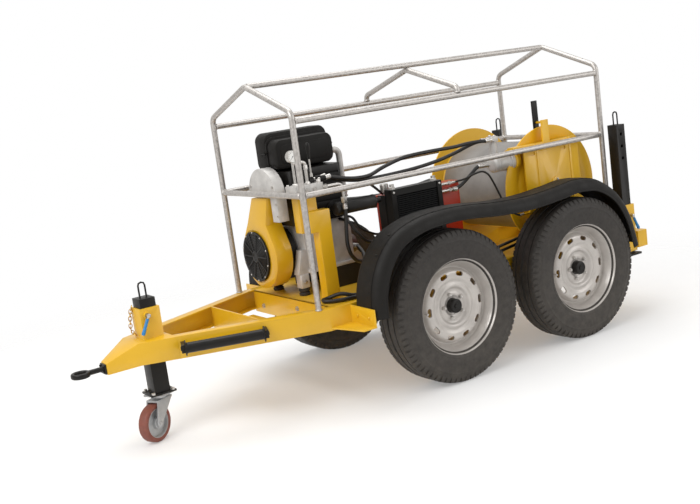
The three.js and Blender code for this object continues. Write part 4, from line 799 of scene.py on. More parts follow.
def make_grille():
    g = GRILLE
    center = at(*g["place"])
    axis = Vector(FORWARD)
    turn = frame_of(axis)
    grille = Piece()
    grille.turned(center, axis, GRILLE_DISC, 72)
    for radius in g["rings"]:
        grille.tube([around(center, axis, radius, a, 2.2) for a in circle(60)], 2.1, 6, closed=True)
    for a in circle(g["ribs"], 0.5):
        spin = Matrix.Rotation(a, 3, "Z")
        rib = [center + turn @ (spin @ Vector((x, y, 0.8))) * MM
               for x, y in ((28, -2.8), (110, -2.2), (110, 2.2), (28, 2.8))]
        grille.prism(rib, axis * 4.2 * MM)
    grille.done("looks_blower_grille", black_cast, 30, replaces="blower_grille")
    screws = Piece()
    for a in circle(g["ribs"]):
        screws.turned(around(center, axis, g["screws"], a, 3.3), axis, SCREW, 14)
    screws.done("grille_screws", zinc, 30)


def make_cover_bolts():
    bolts = Piece()
    bolts.bolts([(-984, -62, 985), (-984, 142, 985)], FORWARD, 10, 5, washer=8)
    bolts.bolts([(-984, -76, 850), (-984, -76, 905)], FORWARD, 8, 4, washer=7)
    bolts.done("cover_bolts", zinc, 30)


make_grille()
make_cover_bolts()


# Air filter, valve block and pipes of the power unit, in station, side and height
# Tubs: from, to, corner radius, axis, steps of the corner and crown
FILTER_TUBS = [((-931, 49, 1042), (-586, 145, 1221), 40, "y", 8, 12),
               ((-926, -38, 1051), (-614, 43, 1188), 36, "y", 8, 12),
               ((-929, 41, 1046), (-606, 51, 1200), 40, "y", 8, 2),
               ((-900, -40.5, 1076), (-640, -30, 1163), 20, "y", 6, 2)]
FILTER_RIB_X = (-880, -800, -720, -640)
# Clips: place, hook from and to, side
FILTER_CLIPS = [(-931, -947, -929, -1), (-590, -588, -574, 1)]
VALVE_TUBS = [((-970, -238, 938.3), (-822, -152, 985.3), 3, "z", 2, 1.2),
              ((-952, -226, 984), (-902, -182, 990), 4, "z", 2, 1)]
VALVE_JOINT_X = (-966, -930, -894, -858, -826)
PORT_ROWS = (-222, -182)
# Pipes of the valve block: places, radius, sides and bend
VALVE_PIPES = [
    ([(-893, -222, 983), (-893, -222, 1086), (-955, -222, 1086)], 7.2, 16, 16),
    ([(-955, -222, 983), (-955, -222, 1100)], 6, 14, 0),
    ([(-836, -222, 983), (-836, -222, 1000), (-800, -222, 1000)], 7.2, 16, 9),
    ([(-836, -182, 983), (-836, -182, 1000), (-800, -182, 1000)], 7.2, 16, 9),
    ([(-826, -236, 961.8), (-722, -236, 961.8), (-722, -236, 873)], 8, 18, 30),
]
# Hexagons of the valve block: places, axis, width across and height
VALVE_HEXAGONS = [
    ([(-893, -222, 985), (-955, -222, 985), (-836, -222, 985), (-836, -182, 985)], UP, 19, 14),
    ([(-893, -222, 1052)], UP, 19, 20), ([(-925, -222, 1086)], FORWARD, 19, 18),
    ([(-822, -222, 1000), (-822, -182, 1000)], REARWARD, 20, 20), ([(-722, -236, 900)], DOWN, 26, 27),
    ([(-820, -236, 961.8)], REARWARD, 22, 16), ([(-962, -165, 985), (-930, -165, 985)], UP, 12, 8),
    ([(-950, -238, 961), (-910, -238, 961), (-870, -238, 961)], NEARWARD, 17, 6),
]
GAUGE = (-955, -222, 1118)
FACE_OUT = 11.4
LEVER = {"x": -852, "y": -196, "pivot_z": 997.6, "top_z": 1100}
PIPE = {"y": 5, "z": 1098, "down_x": -562, "radius": 15}
SILENCER = {"x": -752, "y": -192, "z": 845, "inlet_x": -700, "radius": 31, "pipe": 16.8}
GAUGE_CASE = [(0, -12), (25, -12), (27, -10), (27.2, 10), (26.2, 12.5), (24, 12.8), (23.5, 10.8), (0, 10.8)]
LEVER_BOOT = [(0, -11.2), (5, -10.8), (10, -9), (15, -7.2), (15.5, -6), (14, -5), (14.6, -3.6), (12, -1.6),
              (12.8, 1), (9.8, 4), (10.5, 7), (7.8, 10), (7, 15), (0, 15.2)]
LEVER_GRIP = [(0, 94), (6.2, 94), (7.4, 98), (7, 110), (7.8, 122), (9.4, 140), (10, 152), (9.2, 161),
              (6.6, 166.5), (0, 168)]
SILENCER_BODY = [(0, 0), (22, 0), (29, 4), (30.5, 8), (31, 12), (31, 212), (30.5, 216), (29, 220), (22, 224),
                 (0, 224)]


def band(radius, swell, wide):
    """Outline of a clamp band round a pipe."""
    return [(radius, 0), (radius + swell, 1), (radius + swell, wide - 1), (radius, wide)]


def make_air_filter():
    body = Piece()
    for tub in FILTER_TUBS:
        body.rounded(*tub)
    for x in FILTER_RIB_X:
        body.box((x - 3, 58, 1040.8), (x + 3, 138, 1046))
    body.done("looks_air_filter", plastic, 40, replaces="air_filter")
    clips = Piece()
    for x, low, high, sign in FILTER_CLIPS:
        clips.box((low, 30, 1128), (high, 62, 1133))
        foot, knee = x + sign * 12, x + sign * 14
        clips.tube([(foot, 34, 1118), (knee, 34, 1136), (knee, 58, 1136), (foot, 58, 1118)], 1.6, 8)
    clips.done("filter_clips", black, 30)


def make_valve_block():
    block = Piece()
    for tub in VALVE_TUBS:
        block.rounded(*tub)
    for x in VALVE_JOINT_X:
        block.box((x - 0.8, -239, 940), (x + 0.8, -151.4, 984))
    block.done("looks_valve_block", cast, 30, replaces="valve_block")
    fittings = Piece()
    for places, radius, sides, bend in VALVE_PIPES:
        fittings.tube(places, radius, sides, bend=bend)
    for places, axis, across, height in VALVE_HEXAGONS:
        fittings.bolts(places, axis, across, height)
    fittings.done("valve_fittings", zinc)
    sleeves = Piece()
    for y in PORT_ROWS:
        sleeves.turned((-826, y, 1000), REARWARD, [(0, 0), (13, 0), (13, 26), (10, 26.2), (0, 26.2)], 18)
    sleeves.done("valve_hose_sleeves", plastic)


def make_gauge():
    case = Piece()
    case.turned(GAUGE, NEARWARD, GAUGE_CASE, 48)
    case.turned(GAUGE, DOWN, [(7, 18), (7, 32), (0, 32)], 14)
    case.done("gauge_case", zinc)
    dial = Piece()
    dial.turned(GAUGE, NEARWARD, [(0, 10.4), (23.4, 10.4), (23.4, 11.2), (0, 11.2)], 48)
    dial.done("gauge_dial", dial_white)
    center = at(GAUGE[0], GAUGE[1] - FACE_OUT, GAUGE[2])
    marks = Piece()
    for i in range(11):
        a = math.radians(-45 + 27 * i)
        direction = Vector((math.cos(a), 0, math.sin(a))) * MM
        marks.tube([center + direction * 17, center + direction * 21], 0.5, 6)
    needle = Vector((1, 0, 1)) * MM
    marks.tube([center + needle * 3, center - needle * 11], 0.6, 6)
    marks.turned(center, NEARWARD, [(0, 0), (2.2, 0), (1.8, 0.8), (0, 1)], 16)
    marks.done("gauge_marks", black)


def make_lever():
    v = LEVER
    pivot = (v["x"], v["y"], v["pivot_z"])
    rod = Piece()
    rod.tube([pivot, (v["x"], v["y"], v["top_z"])], 4, 14)
    rod.turned(pivot, UP, [(0, 12), (7, 12), (6.5, 28), (5, 32), (0, 32)], 16)
    rod.done("looks_valve_lever", zinc, body="valve_lever", replaces="valve_lever")
    grip = Piece()
    grip.turned(pivot, UP, LEVER_BOOT)
    grip.turned(pivot, UP, LEVER_GRIP)
    grip.done("lever_grip", black, 45, "valve_lever")


def make_engine_pipes():
    p, s = PIPE, SILENCER
    y, x = p["y"], p["down_x"]
    intake = Piece()
    intake.tube([(-614, y, p["z"]), (x, y, p["z"]), (x, y, 873)], p["radius"], 28, bend=34, steps=10)
    for clamp_x in (-608, -600):
        intake.turned((clamp_x, y, p["z"]), REARWARD, band(p["radius"], 2.2, 6), 28)
    for z in (866, 884):
        intake.turned((x, y, z), UP, band(p["radius"], 3, 9), 28)
    intake.done("looks_intake_pipe", cast, 40, replaces="intake_pipe")
    y, z = s["y"], s["z"]
    silencer = Piece()
    silencer.turned((s["x"], y, z), REARWARD, SILENCER_BODY, 48)
    silencer.tube([(-532, y, z), (-494.5, y, z)], 13, 28)
    silencer.tube([(s["inlet_x"], y, z), (s["inlet_x"], -91, z)], s["pipe"], 28)
    for x in (-742, -540):
        silencer.turned((x, y, z), REARWARD, band(s["radius"], 1.2, 8), 48)
    silencer.turned((s["inlet_x"], -98, z), (0, 1, 0),
                    [(s["pipe"], 0), (26, 0), (26, 7.2), (s["pipe"], 7.2)], 28)
    silencer.done("looks_exhaust_silencer", black_cast, 40, replaces="exhaust_silencer")


make_air_filter()
make_valve_block()
make_gauge()
make_lever()
make_engine_pipes()


# Winch drum, its supports, the oil tank and the oil cooler
DRUM = {"x": 507, "z": 742, "radius": 310, "core": 229, "half": 300, "flange": 8, "bore": 32, "hub": 62,
        "hub_out": 6, "bolts": 8, "bolt_ring": 84}
SUPPORT_Y = -343
NOSE_X = -1868
BEND = math.atan((395 - 33) / (1868 - 980))
DECK_FRONT = -945
CROSS_X = -1240
PLATE_TOP = 455
DECK_TOP = 455.3
# Parts of the near support plate that the scene leaves out, as x and z from and to
SUPPORT_TRIM = [(100, 300, 640, 958), (100, 232, 950, 1000)]
SLOT_X = (357, 573)
SUPPORT_BOLTS = [(418, 500), (648, 500), (418, 400), (648, 400)]
SLOT_Z = 926
SLOT_HALF = (19, 8)
FIN_SLOT = 2
COOLER = {"x0": -470, "x1": -170, "y0": -255, "y1": -197, "z0": 600, "z1": 885, "side": 26, "head": 30,
          "rows": 24, "wave": 1.9, "sheet": 1.2, "ear": 22, "ear_z": 650, "ear_high": 46, "spigot_out": 85}
TANK = {"x0": -465, "x1": 0, "y0": -190, "y1": -100, "z0": DECK_TOP, "z1": 855, "round": 22, "cap_x": -430,
        "cap_y": -145}
MOTOR = {"y": -262, "z": 905, "x0": 150, "x1": 274, "riser_x": 190, "riser_y": -245, "head": (1014, 1040)}
MOTOR_BODY = [(0, 0), (27, 0), (36, 3), (42, 10), (42, 30), (40, 31), (40, 34), (42, 35), (42, 88), (45, 92),
              (45, 106), (50, 108), (50, 124), (0, 124)]
MOTOR_FLANGE = [(36, 0), (56, 0), (58, 2), (58, 9), (53, 11), (53, 29), (36, 29)]
TANK_CAP = [(0, -2), (16, -2), (16, 10), (21, 12), (21, 48), (18, 52), (0, 52)]
BEARING_RING = [(34, 0), (47, 0), (48, 1.5), (47, 5), (44, 6), (34, 6)]
MOUNT_X = -876
MOUNT_Y = (-32, 215)
RUBBER_MOUNT = [(0, 0), (24, 0), (26, 3), (26, 12), (20, 17), (26, 22), (26, 34), (23, 37), (0, 37)]
# Radius and route of the fixed lines
LINES = {
    "tank_breather": (6.5, [(-824, -180, 952), (-790, -180, 946), (-740, -180, 934), (-600, -172, 930),
                            (-540, -156, 930), (-508, -146, 918), (-480, -145, 896), (-444, -145, 862)]),
    "tank_suction": (8, [(-640, -20, 772), (-640, -70, 772), (-637, -120, 762), (-622, -146, 716),
                         (-566, -150, 655), (-499, -150, 652), (-464, -150, 658)]),
    "tank_leak": (6, [(-600, -20, 780), (-600, -60, 780), (-598, -100, 770), (-572, -120, 716),
                      (-500, -120, 677), (-464, -120, 672)]),
    "deck_loop": (9, [(-690, -372, 466), (-735, -368, 466), (-800, -352, 466), (-880, -335, 466),
                      (-925, -300, 466), (-925, -268, 468), (-890, -262, 470), (-850, -300, 484),
                      (-800, -325, 470), (-745, -330, 466), (-690, -335, 466)]),
}
LOOP_ENDS = (-372, -335)
BRAKE_DROPS = (0, 26)


def diagonal_y(x):
    """Outer edge of the drawbar's diagonal beam at a station."""
    return 33 + (x - NOSE_X) * math.tan(BEND)


def make_oil_tank():
    t = TANK
    tank = Piece()
    tank.rounded((t["x0"], t["y0"], t["z0"]), (t["x1"], t["y1"], t["z1"]), t["round"], "z", 6, 2)
    for z in (t["z0"] + 12, t["z1"] - 22):
        corners = [at(x, y, z) for x, y in ((t["x0"], t["y0"]), (t["x1"], t["y0"]), (t["x1"], t["y1"]),
                                            (t["x0"], t["y1"]))]
        middle = corners[3].lerp(corners[0], 0.5)
        tank.tube([middle] + corners + [middle], 2.2, 8, bend=t["round"], steps=5)
    tank.turned((t["cap_x"], t["cap_y"], t["z1"]), UP, TANK_CAP, mat=1)
    tank.done("oil_tank_shell", [red, zinc], replaces="oil_tank")


def make_engine_base():
    rails = Piece()
    for near, far in ((-65, -20), (203, 248)):
        rails.box((-760, near, DECK_TOP), (-541, far, 548))
        rails.box((-760, near, 548), (-541, far, 555.7))
    rails.box((-575, -20, 470), (-541, 203, 548))
    rails.done("engine_base_rails", black_cast, replaces="engine_base", edges=3)
    feet = Piece()
    for y in MOUNT_Y:
        feet.rounded((-900, y - 24, 492), (-852, y + 24, 556), 6, "z", 3, 1)
        feet.turned((MOUNT_X, y, DECK_TOP), UP, RUBBER_MOUNT, 28, 1)
        feet.bolts([(MOUNT_X, y - 24, 520)], NEARWARD, 14, 7, 2, 9)
    feet.done("engine_feet_and_rubber_mounts", [cast, rubber, zinc], replaces="engine_base")


def make_winch_motor():
    m = MOTOR
    y, z, x = m["y"], m["z"], m["riser_x"]
    low, high = m["head"]
    motor = Piece()
    motor.turned((m["x0"], y, z), REARWARD, MOTOR_BODY, 40)
    motor.turned((m["x1"] + 0.3, y, z), REARWARD, MOTOR_FLANGE, 44, 2)
    motor.tube([(x, m["riser_y"], z), (x, m["riser_y"], low + 4)], 19, 24)
    motor.rounded((x - 15, -274, low), (x + 15, -216, high), 4, "z", 3, 0.5)
    for end_y in (-261, -229):
        motor.turned((x - 10, end_y, 1027), FORWARD, [(0, 0), (11, 0), (11, 23), (9, 24), (0, 24)], 20, 1)
        motor.bolts([(x - 14, end_y, 1027)], FORWARD, 23, 9, 1)
        motor.turned((x, end_y, 1038), UP, [(0, 0), (8, 0), (8, 7), (6, 9), (0, 9)], 16, 1)
    port = sweep(stations([(168, -246, z), (152, -238, z), (136, -231, z), (120, -228.7, z)]), 6)
    motor.tube(port + [at(120, -228.7, z)], 11.5, 20, 1)
    for i in range(4):
        a = math.pi / 4 + i * math.pi / 2
        motor.bolts([(m["x0"] + 108, y + 44 * math.cos(a), z + 44 * math.sin(a))], FORWARD, 9, 5, 1)
    motor.done("winch_motor_body", [cast, zinc, yellow], 32, replaces="winch_motor")


def make_drum():
    d = DRUM
    center = (d["x"], 0, d["z"])
    half, thick, edge, core = d["half"], d["flange"], d["radius"], d["core"]
    hub, ends = d["hub"], half + d["hub_out"]
    face = [(d["bore"], ends), (hub - 2, ends), (hub, ends - 2), (hub, half), (core - 12, half),
            (core - 9, half - 2), (core + 6, half - 2), (core + 9, half), (edge - 1, half), (edge, half - 1),
            (edge, half - thick + 1), (edge - 1, half - thick), (core + 5, half - thick),
            (core, half - thick - 5)]
    drum = Piece()
    for side in (-1, 1):
        drum.turned(center, (0, side, 0), face, 96)
    drum.turned(center, (0, 1, 0), [(core, thick + 5 - half), (core, half - thick - 5)], 96, 1)
    drum.turned(center, (0, 1, 0), [(d["bore"], -ends), (d["bore"], ends)])
    for side in (-1, 1):
        ring = [(d["x"] + d["bolt_ring"] * math.cos(a), side * half, d["z"] + d["bolt_ring"] * math.sin(a))
                for a in circle(d["bolts"])]
        drum.bolts(ring, (0, side, 0), 17, 5.5, 2, 11)
    drum.done("drum_barrel_and_flanges", [yellow, drum_grey, zinc], body="drum", replaces="drum")


def copied(node_name, name, material):
    """A welded copy of a node's mesh, to be cut further."""
    source = nodes[node_name]
    mesh = source.data.copy()
    obj = new_object(name, mesh)
    obj.matrix_world = source.matrix_world.copy()
    mesh.materials.clear()
    mesh.materials.append(material)
    welded = bmesh.new()
    welded.from_mesh(mesh)
    bmesh.ops.remove_doubles(welded, verts=welded.verts, dist=MERGE)
    welded.to_mesh(mesh)
    welded.free()
    return obj


def carve_box(obj, low, high):
    cutter = Piece()
    cutter.box(low, high)
    carve(obj, cutter)


def dressed(obj, node_name):
    """Soft edges and smooth turned faces for a cut copy, which then takes the node's place."""
    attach(obj, ROOT)
    soften(obj, 1.5)
    obj.modifiers.new("smooth", "NODES").node_group = smoothing
    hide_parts(node_name)


def make_near_support():
    obj = copied("drum_support_near", "near_support_plate", yellow)
    for x0, x1, z0, z1 in SUPPORT_TRIM:
        carve_box(obj, (x0, -360, z0), (x1, -300, z1))
    for x in SLOT_X:
        cutter = Piece()
        outline = [at(x + along, SUPPORT_Y - 6, SLOT_Z + up) for along, up in stadium(*SLOT_HALF)]
        cutter.prism(outline, Vector((0, 12, 0)) * MM)
        carve(obj, cutter)
    dressed(obj, "drum_support_near")


def make_deck():
    """The deck ends in a folded flange; a plate ties the diagonal beams in front of it."""
    obj = copied("deck_sheet", "deck_plate", yellow_dusty)
    carve_box(obj, (-1180, -420, 340), (DECK_FRONT, 420, 470))
    dressed(obj, "deck_sheet")
    inner = 50 / math.cos(BEND)
    member = Piece()
    for x, plate, foot in ((DECK_FRONT, 6, 346), (CROSS_X, 8, 358)):
        half = diagonal_y(x) - inner - 0.5
        member.box((x, -half, foot), (x + plate, half, PLATE_TOP))
    half = diagonal_y(CROSS_X) - inner - 0.5
    member.box((CROSS_X, -half, 358), (CROSS_X + 215, half, 364))
    member.done("deck_flange_and_cross_member", yellow, edges=1.5)
    bolts = Piece()
    bolts.bolts([(DECK_FRONT, -62, 410), (DECK_FRONT, 262, 385)], FORWARD, 17, 7, washer=12)
    bolts.done("deck_flange_bolts", zinc)


def make_lines():
    """Rigid runs that the photograph shows behind the valve block, at the tank and on the deck."""
    for name, (radius, route) in LINES.items():
        line = Piece()
        line.tube(sweep(stations(route), 5), radius, 12)
        line.done(name, hose_rubber)
    ends = Piece()
    for y in LOOP_ENDS:
        ends.turned((-698, y, 466), REARWARD, [(0, 0), (11, 0), (11, 20), (0, 20)], 12)
        ends.box((-702, y - 12, DECK_TOP), (-688, y + 12, 466))
    ends.done("deck_loop_ends", zinc)
    bracket = Piece()
    bracket.box((-473, -199, 600), (-466.5, -142, 858))
    bracket.done("cooler_side_bracket", black, edges=1)


def make_support_details():
    bolts = Piece()
    bolts.bolts([(x, SUPPORT_Y, z) for x, z in SUPPORT_BOLTS], NEARWARD, 19, 8, washer=12)
    bolts.bolts([(DRUM["x"] + 34 * math.cos(a), SUPPORT_Y - 8, DRUM["z"] + 34 * math.sin(a))
                 for a in circle(6, 0.5)], NEARWARD, 10, 4, washer=6)
    bolts.done("support_bolts", zinc)
    ring = Piece()
    ring.turned((DRUM["x"], SUPPORT_Y + 0.2, DRUM["z"]), NEARWARD, BEARING_RING, 56)
    for side in (-1, 1):
        ring.box((907, side * 499, 351), (965, side * 493, 426))
    ring.done("bearing_ring_and_beam_caps", yellow)
    pipes = Piece()
    for drop in BRAKE_DROPS:
        line = [(-130, -318, 466), (-60, -340, 490 - drop), (61, -362, 517 - drop), (160, -366, 531 - drop),
                (246, -368, 542 - drop), (330, -366, 550 - drop), (400, -350, 520 - drop), (430, -330, 420)]
        pipes.tube(sweep(stations(line), 6), 7.5, 14)
    pipes.done("brake_pipes", hose_rubber)


def add_fins(cooler, a, b, low, pitch):
    """Folded fins between the level sheets of the cooler."""
    c = COOLER
    steps = int((b - a) / c["wave"])
    for row in range(c["rows"]):
        z0, z1 = low + row * pitch + c["sheet"], low + (row + 1) * pitch - c["sheet"]
        last = None
        for i in range(steps + 1):
            x = a + (b - a) * i / steps
            z = z0 if i % 2 else z1
            pair = cooler.ring(at(x, y, z) for y in (c["y0"] + 8, c["y1"] - 8))
            if last:
                cooler.bm.faces.new((last[0], pair[0], pair[1], last[1])).material_index = FIN_SLOT
            last = pair


def make_oil_cooler():
    c = COOLER
    x0, x1, y0, y1, z0, z1 = c["x0"], c["x1"], c["y0"], c["y1"], c["z0"], c["z1"]
    low, high = z0 + c["head"], z1 - c["head"]
    a, b = x0 + c["side"], x1 - c["side"]
    middle = (y0 + y1) / 2
    cooler = Piece()
    for xa, xb in ((x0, a), (b, x1)):
        cooler.box((xa, y0, z0), (xb, y1, z1))
        for z in (z0 + 15, z1 - 15):
            cooler.turned(((xa + xb) / 2, y0, z), NEARWARD, [(0, 0), (6, 0), (5, 2.5), (0, 3.5)], 16, 1)
    for za, zb in ((z0, low), (high, z1)):
        cooler.box((a, y0 + 4, za), (b, y1 - 2, zb))
    pitch = (high - low) / c["rows"]
    for row in range(c["rows"] + 1):
        z = low + row * pitch
        cooler.box((a, y0 + 6, z - c["sheet"]), (b, y1 - 4, z + c["sheet"]), 2)
    add_fins(cooler, a, b, low, pitch)
    cooler.box((a, y1 - 6, low), (b, y1 - 4, high))
    for x in (a, b):
        cooler.bolts([(x, middle, z1)], UP, 27, 12, 1)
        cooler.turned((x, middle, z1 + 12), UP, [(0, 0), (11, 0), (11, 11), (0, 12)], 24, 1)
    for x in (a, b - c["ear"]):
        cooler.box((x, y1 - 12, c["ear_z"]), (x + c["ear"], TANK["y0"] - 0.3, c["ear_z"] + c["ear_high"]))
    out = c["spigot_out"]
    for z in (856, 822):
        cooler.turned((x1 - 2, middle, z), REARWARD, [(0, 0), (7, 0), (7, out + 1.7), (0, out + 2)], 20, 1)
        cooler.bolts([(x1, middle, z)], REARWARD, 20, 12, 1)
        cooler.bolts([(x1 + out - 22, middle, z)], REARWARD, 18, 14, 1)
    cooler.done("oil_cooler_core_and_frame", [black, zinc, cooler_fin], 30, replaces="oil_cooler")


make_oil_tank()
make_engine_base()
make_winch_motor()
make_drum()
make_near_support()
make_deck()
make_lines()
make_support_details()
make_oil_cooler()


# Drawbar: tow ring, guide roller, castor wheel, clamp screws and their chains
EYE = {"x": -1972, "z": 368, "ring": 41, "bore": 24, "half": 11, "shank": 11, "plate": 27, "plate_z": 21,
       "round": 0.7}
ROLLER = {"x0": -1564, "x1": -1251, "z": 415, "away": 62, "radius": 22.5, "flange": 34, "thick": 6, "pin": 9,
          "ear_half": 17, "ear_gap": 0.2, "ear_end": 14.7}
CASTOR = {"x": -1648, "trail": 62, "turn": 0.47, "radius": 83, "half": 23, "hub": 26, "bore": 8.5, "disc": 64,
          "bolt": 45, "bolt_z": 207.5}
HANDLE = {"reach": 86, "rod": 4.8}
# The grip's end is closed to a pinhole on its axis
HANDLE_GRIP = [(0.0056, 12), (6.6, 13), (7, 20), (6.6, 50), (8, 72), (8.2, 80), (6, 85), (0, 86)]
# Route of a stabiliser's chain for the far side; the near side mirrors it
CHAIN = [(840, 486.5, 572), (832, 490, 530), (834, 489, 490), (846, 487, 470)]


def powered(value, power):
    return math.copysign(abs(value) ** power, value)


def make_tow_eye():
    e = EYE
    middle, wide = (e["ring"] + e["bore"]) / 2, (e["ring"] - e["bore"]) / 2
    section = []
    for i in range(25):
        a = 2 * math.pi * i / 24
        section.append((middle + wide * powered(math.cos(a), e["round"]),
                        e["half"] * powered(math.sin(a), e["round"])))
    eye = Piece()
    eye.turned((e["x"], 0, e["z"]), UP, section, 48)
    eye.turned((e["x"] + middle + 4, 0, e["z"]), REARWARD,
               [(0, 0), (e["shank"], 0), (e["shank"], 50), (16, 62), (0, 62)], 28)
    x0, x1 = NOSE_X - 8.3, NOSE_X - 0.3
    eye.box((x0, -e["plate"], e["z"] - e["plate_z"]), (x1, e["plate"], e["z"] + e["plate_z"]))
    eye.bolts([(x0, y, e["z"] + z) for y in (-18, 18) for z in (-12, 12)], FORWARD, 10, 5, washer=7)
    eye.done("tow_ring", black, replaces="tow_eye", edges=1)


def beside_beam(x, away):
    """A place beside the near diagonal beam, in metres."""
    return at(x - away * math.sin(BEND), -(diagonal_y(x) + away * math.cos(BEND)), ROLLER["z"])


def make_guide_roller():
    r = ROLLER
    start, end = beside_beam(r["x0"], r["away"]), beside_beam(r["x1"], r["away"])
    span = (end - start).length / MM
    pin = r["thick"] + 12
    profile = [(0, -pin), (r["pin"], -pin), (r["pin"], 0), (r["flange"] - 2, 0), (r["flange"], 1.5),
               (r["flange"], r["thick"] - 1), (r["radius"] + 3, r["thick"]), (r["radius"], r["thick"] + 4)]
    profile += [(radius, span - height) for radius, height in reversed(profile)]
    barrel = Piece()
    barrel.turned(start, end - start, profile, 40)
    barrel.done("guide_roller_barrel", black, body="guide_roller", replaces="guide_roller")
    along = (end - start).normalized() * MM
    half = Vector((0, 0, r["ear_half"])) * MM
    ears = Piece()
    for x, way in ((r["x0"], -1), (r["x1"], 1)):
        near, far = beside_beam(x, 1), beside_beam(x, r["away"] + 17)
        gap = along * way * r["ear_gap"]
        outline = [near + gap - half, near + gap + half, far + gap + half, far + gap - half]
        ears.prism(outline, along * way * r["ear_end"])
    ears.done("guide_roller_ears", black, edges=1)


def make_castor_wheel():
    c = CASTOR
    turn, half, disc, hub, radius = c["turn"], c["half"], c["disc"], c["hub"], c["radius"]
    center = at(c["x"] - c["trail"] * math.cos(turn), -c["trail"] * math.sin(turn), radius)
    axis = Vector((-math.sin(turn), math.cos(turn), 0))
    tread = [(disc, -half + 2), (radius - 6, -half), (radius - 2, -half + 3), (radius, -half + 9),
             (radius, half - 9), (radius - 2, half - 3), (radius - 6, half), (disc, half - 2)]
    side = [(c["bore"], half + 3.5), (hub - 2, half + 3.5), (hub, half + 1.5), (hub, 9), (hub + 6, 6),
            (disc - 8, 6), (disc - 3, half - 3), (disc + 1, half - 2.5)]
    wheel = Piece()
    wheel.turned(center, axis, tread, 56)
    for way in (-1, 1):
        wheel.turned(center, axis * way, side, 48, 1)
    wheel.done("castor_tread_and_disc", [brown, steel], body="castor_wheel", replaces="castor_wheel")
    bolts = Piece()
    bolts.bolts([(c["x"] + dx, dy, c["bolt_z"]) for dx in (-c["bolt"], c["bolt"])
                 for dy in (-c["bolt"], c["bolt"])], UP, 15, 8, washer=9)
    bolts.done("jockey_flange_bolts", zinc, body="jockey_leg")


def make_clamp(node, x, side, tip, out, z, lean, radius):
    """Clamp screw from its tip to its head, with a drop handle that hangs at an angle."""
    head = out + side * 10
    long = abs(head - tip)
    clamp = Piece()
    clamp.turned((x, tip, z), (0, side, 0), [(0, 0), (radius - 1.5, 0), (radius, 2), (radius, long + 6),
                                             (radius - 2, long + 7), (0, long + 7)], 24)
    start = at(x, head, z)
    end = at(x - HANDLE["reach"] * math.sin(lean), head, z - HANDLE["reach"] * math.cos(lean))
    down = (end - start).normalized()
    clamp.tube([start - down * 6 * MM, end], HANDLE["rod"], 14)
    clamp.turned(start, down, HANDLE_GRIP, 20, 1)
    clamp.done(node + "_handle", [zinc, blue], body=node, replaces=node)


def make_chain(name, route, pitch, wire):
    """Short chain of oval links, each a quarter turn from the last."""
    points = sweep(stations(route), 8)
    pitch *= MM
    chain = Piece()
    travelled, due, turn = 0.0, 0.0, 0
    for a, b in zip(points, points[1:]):
        step = (b - a).length
        along = (b - a).normalized()
        basis = frame_of(along, (0.3, 1, 0.2))
        while due <= travelled + step:
            middle = a.lerp(b, (due - travelled) / step)
            across = basis @ Vector((math.cos(turn * math.pi / 2), math.sin(turn * math.pi / 2), 0))
            link = [middle + along * math.cos(t) * pitch * 0.78 + across * math.sin(t) * pitch * 0.42
                    for t in circle(12)]
            chain.tube(link, wire, 6, closed=True)
            turn += 1
            due += pitch
        travelled += step
    chain.done(name, gold)


make_tow_eye()
make_guide_roller()
make_castor_wheel()
make_clamp("jockey_clamp", -1666, -1, -39.8, -61.5, 556, 0.46, 9)
for clamp_side, clamp_name in ((-1, "near"), (1, "far")):
    make_clamp("stabiliser_clamp_" + clamp_name, 865, clamp_side, clamp_side * 474.3, clamp_side * 497, 524,
               -0.46, 8)
    make_chain("stabiliser_chain_" + clamp_name, [(x, clamp_side * y, z) for x, y, z in CHAIN], 10.5, 1.5)
make_chain("jockey_chain", [(-1698, 30, 585), (-1704, 38, 560), (-1707, 46, 521), (-1707, 50, 486),
                            (-1702, 24, 470)], 16.5, 1.8)


# Floor and light
FLOOR_FADE = (1.7, 3.4)
FLOOR_REACH = 16.0
WORLD_FILL = (1.0, 0.98, 0.955, 1.0)
WORLD_SEEN = (1.0, 1.0, 1.0, 1.0)


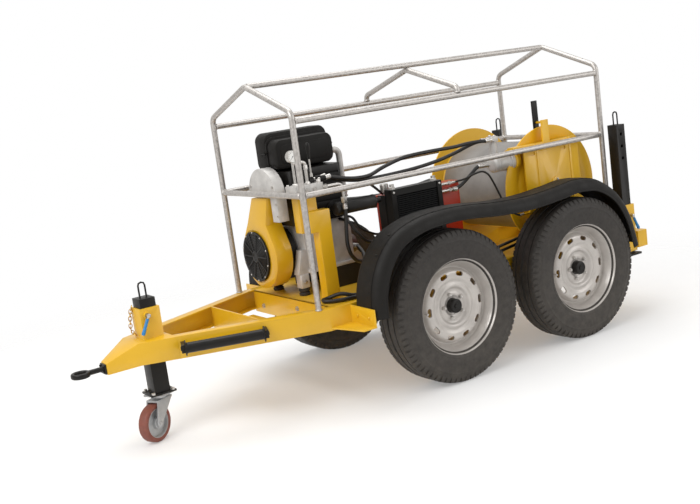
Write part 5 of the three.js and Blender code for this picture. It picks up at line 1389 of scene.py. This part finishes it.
def make_floor():
    floor = Piece()
    reach = FLOOR_REACH
    corners = floor.ring([(-reach, -reach, 0), (reach, -reach, 0), (reach, reach, 0), (-reach, reach, 0)])
    floor.bm.faces.new(corners)
    mesh = bpy.data.meshes.new("floor")
    floor.bm.to_mesh(mesh)
    floor.bm.free()
    mesh.materials.append(floor_paint)
    new_object("floor", mesh)


def fade_floor():
    """Lets the pale floor run out into the white world away from the machine."""
    tree = floor_paint.node_tree
    place = next(n for n in tree.nodes if n.type == "TEX_COORD")
    length = add_node(tree, "VectorMath", (place.outputs["Object"], 0))
    length.operation = "LENGTH"
    away = remap(tree, length.outputs["Value"], *FLOOR_FADE, 0.25, 1.0)
    paint = tree.nodes["Principled BSDF"].outputs[0]
    clear = add_node(tree, "BsdfTransparent").outputs[0]
    blend = add_node(tree, "MixShader", (away, 0), (paint, 1), (clear, 2))
    tree.links.new(blend.outputs[0], tree.nodes["Material Output"].inputs["Surface"])


def make_lamp(name, place, aim, size, power):
    lamp = bpy.data.lights.new(name, "AREA")
    lamp.shape = "RECTANGLE"
    lamp.size, lamp.size_y = size
    lamp.energy = power
    obj = new_object(name, lamp)
    obj.location = place
    obj.rotation_euler = (Vector(aim) - Vector(place)).to_track_quat("-Z", "Y").to_euler()


def white_world():
    """White to the camera, and a dimmer warm fill to the machine."""
    world = bpy.data.worlds.new("studio")
    SCENE.world = world
    world.use_nodes = True
    tree = world.node_tree
    tree.nodes.clear()
    fill = add_node(tree, "Background", Color=WORLD_FILL, Strength=0.7).outputs[0]
    seen = add_node(tree, "Background", Color=WORLD_SEEN, Strength=1.0).outputs[0]
    camera_ray = add_node(tree, "LightPath").outputs["Is Camera Ray"]
    blend = add_node(tree, "MixShader", (camera_ray, 0), (fill, 1), (seen, 2))
    add_node(tree, "OutputWorld", (blend.outputs[0], "Surface"))


make_floor()
fade_floor()
white_world()
make_lamp("key", (-4.4, -1.5, 3.9), (0.0, 0.0, 0.6), (3.4, 2.6), 132)
make_lamp("fill", (3.4, -3.8, 2.4), (0.2, 0.0, 0.6), (3.2, 2.6), 45)
make_lamp("top", (0.2, 0.6, 4.6), (0.1, 0.0, 0.7), (4.2, 3.0), 105)

SCENE.view_settings.view_transform = "Standard"
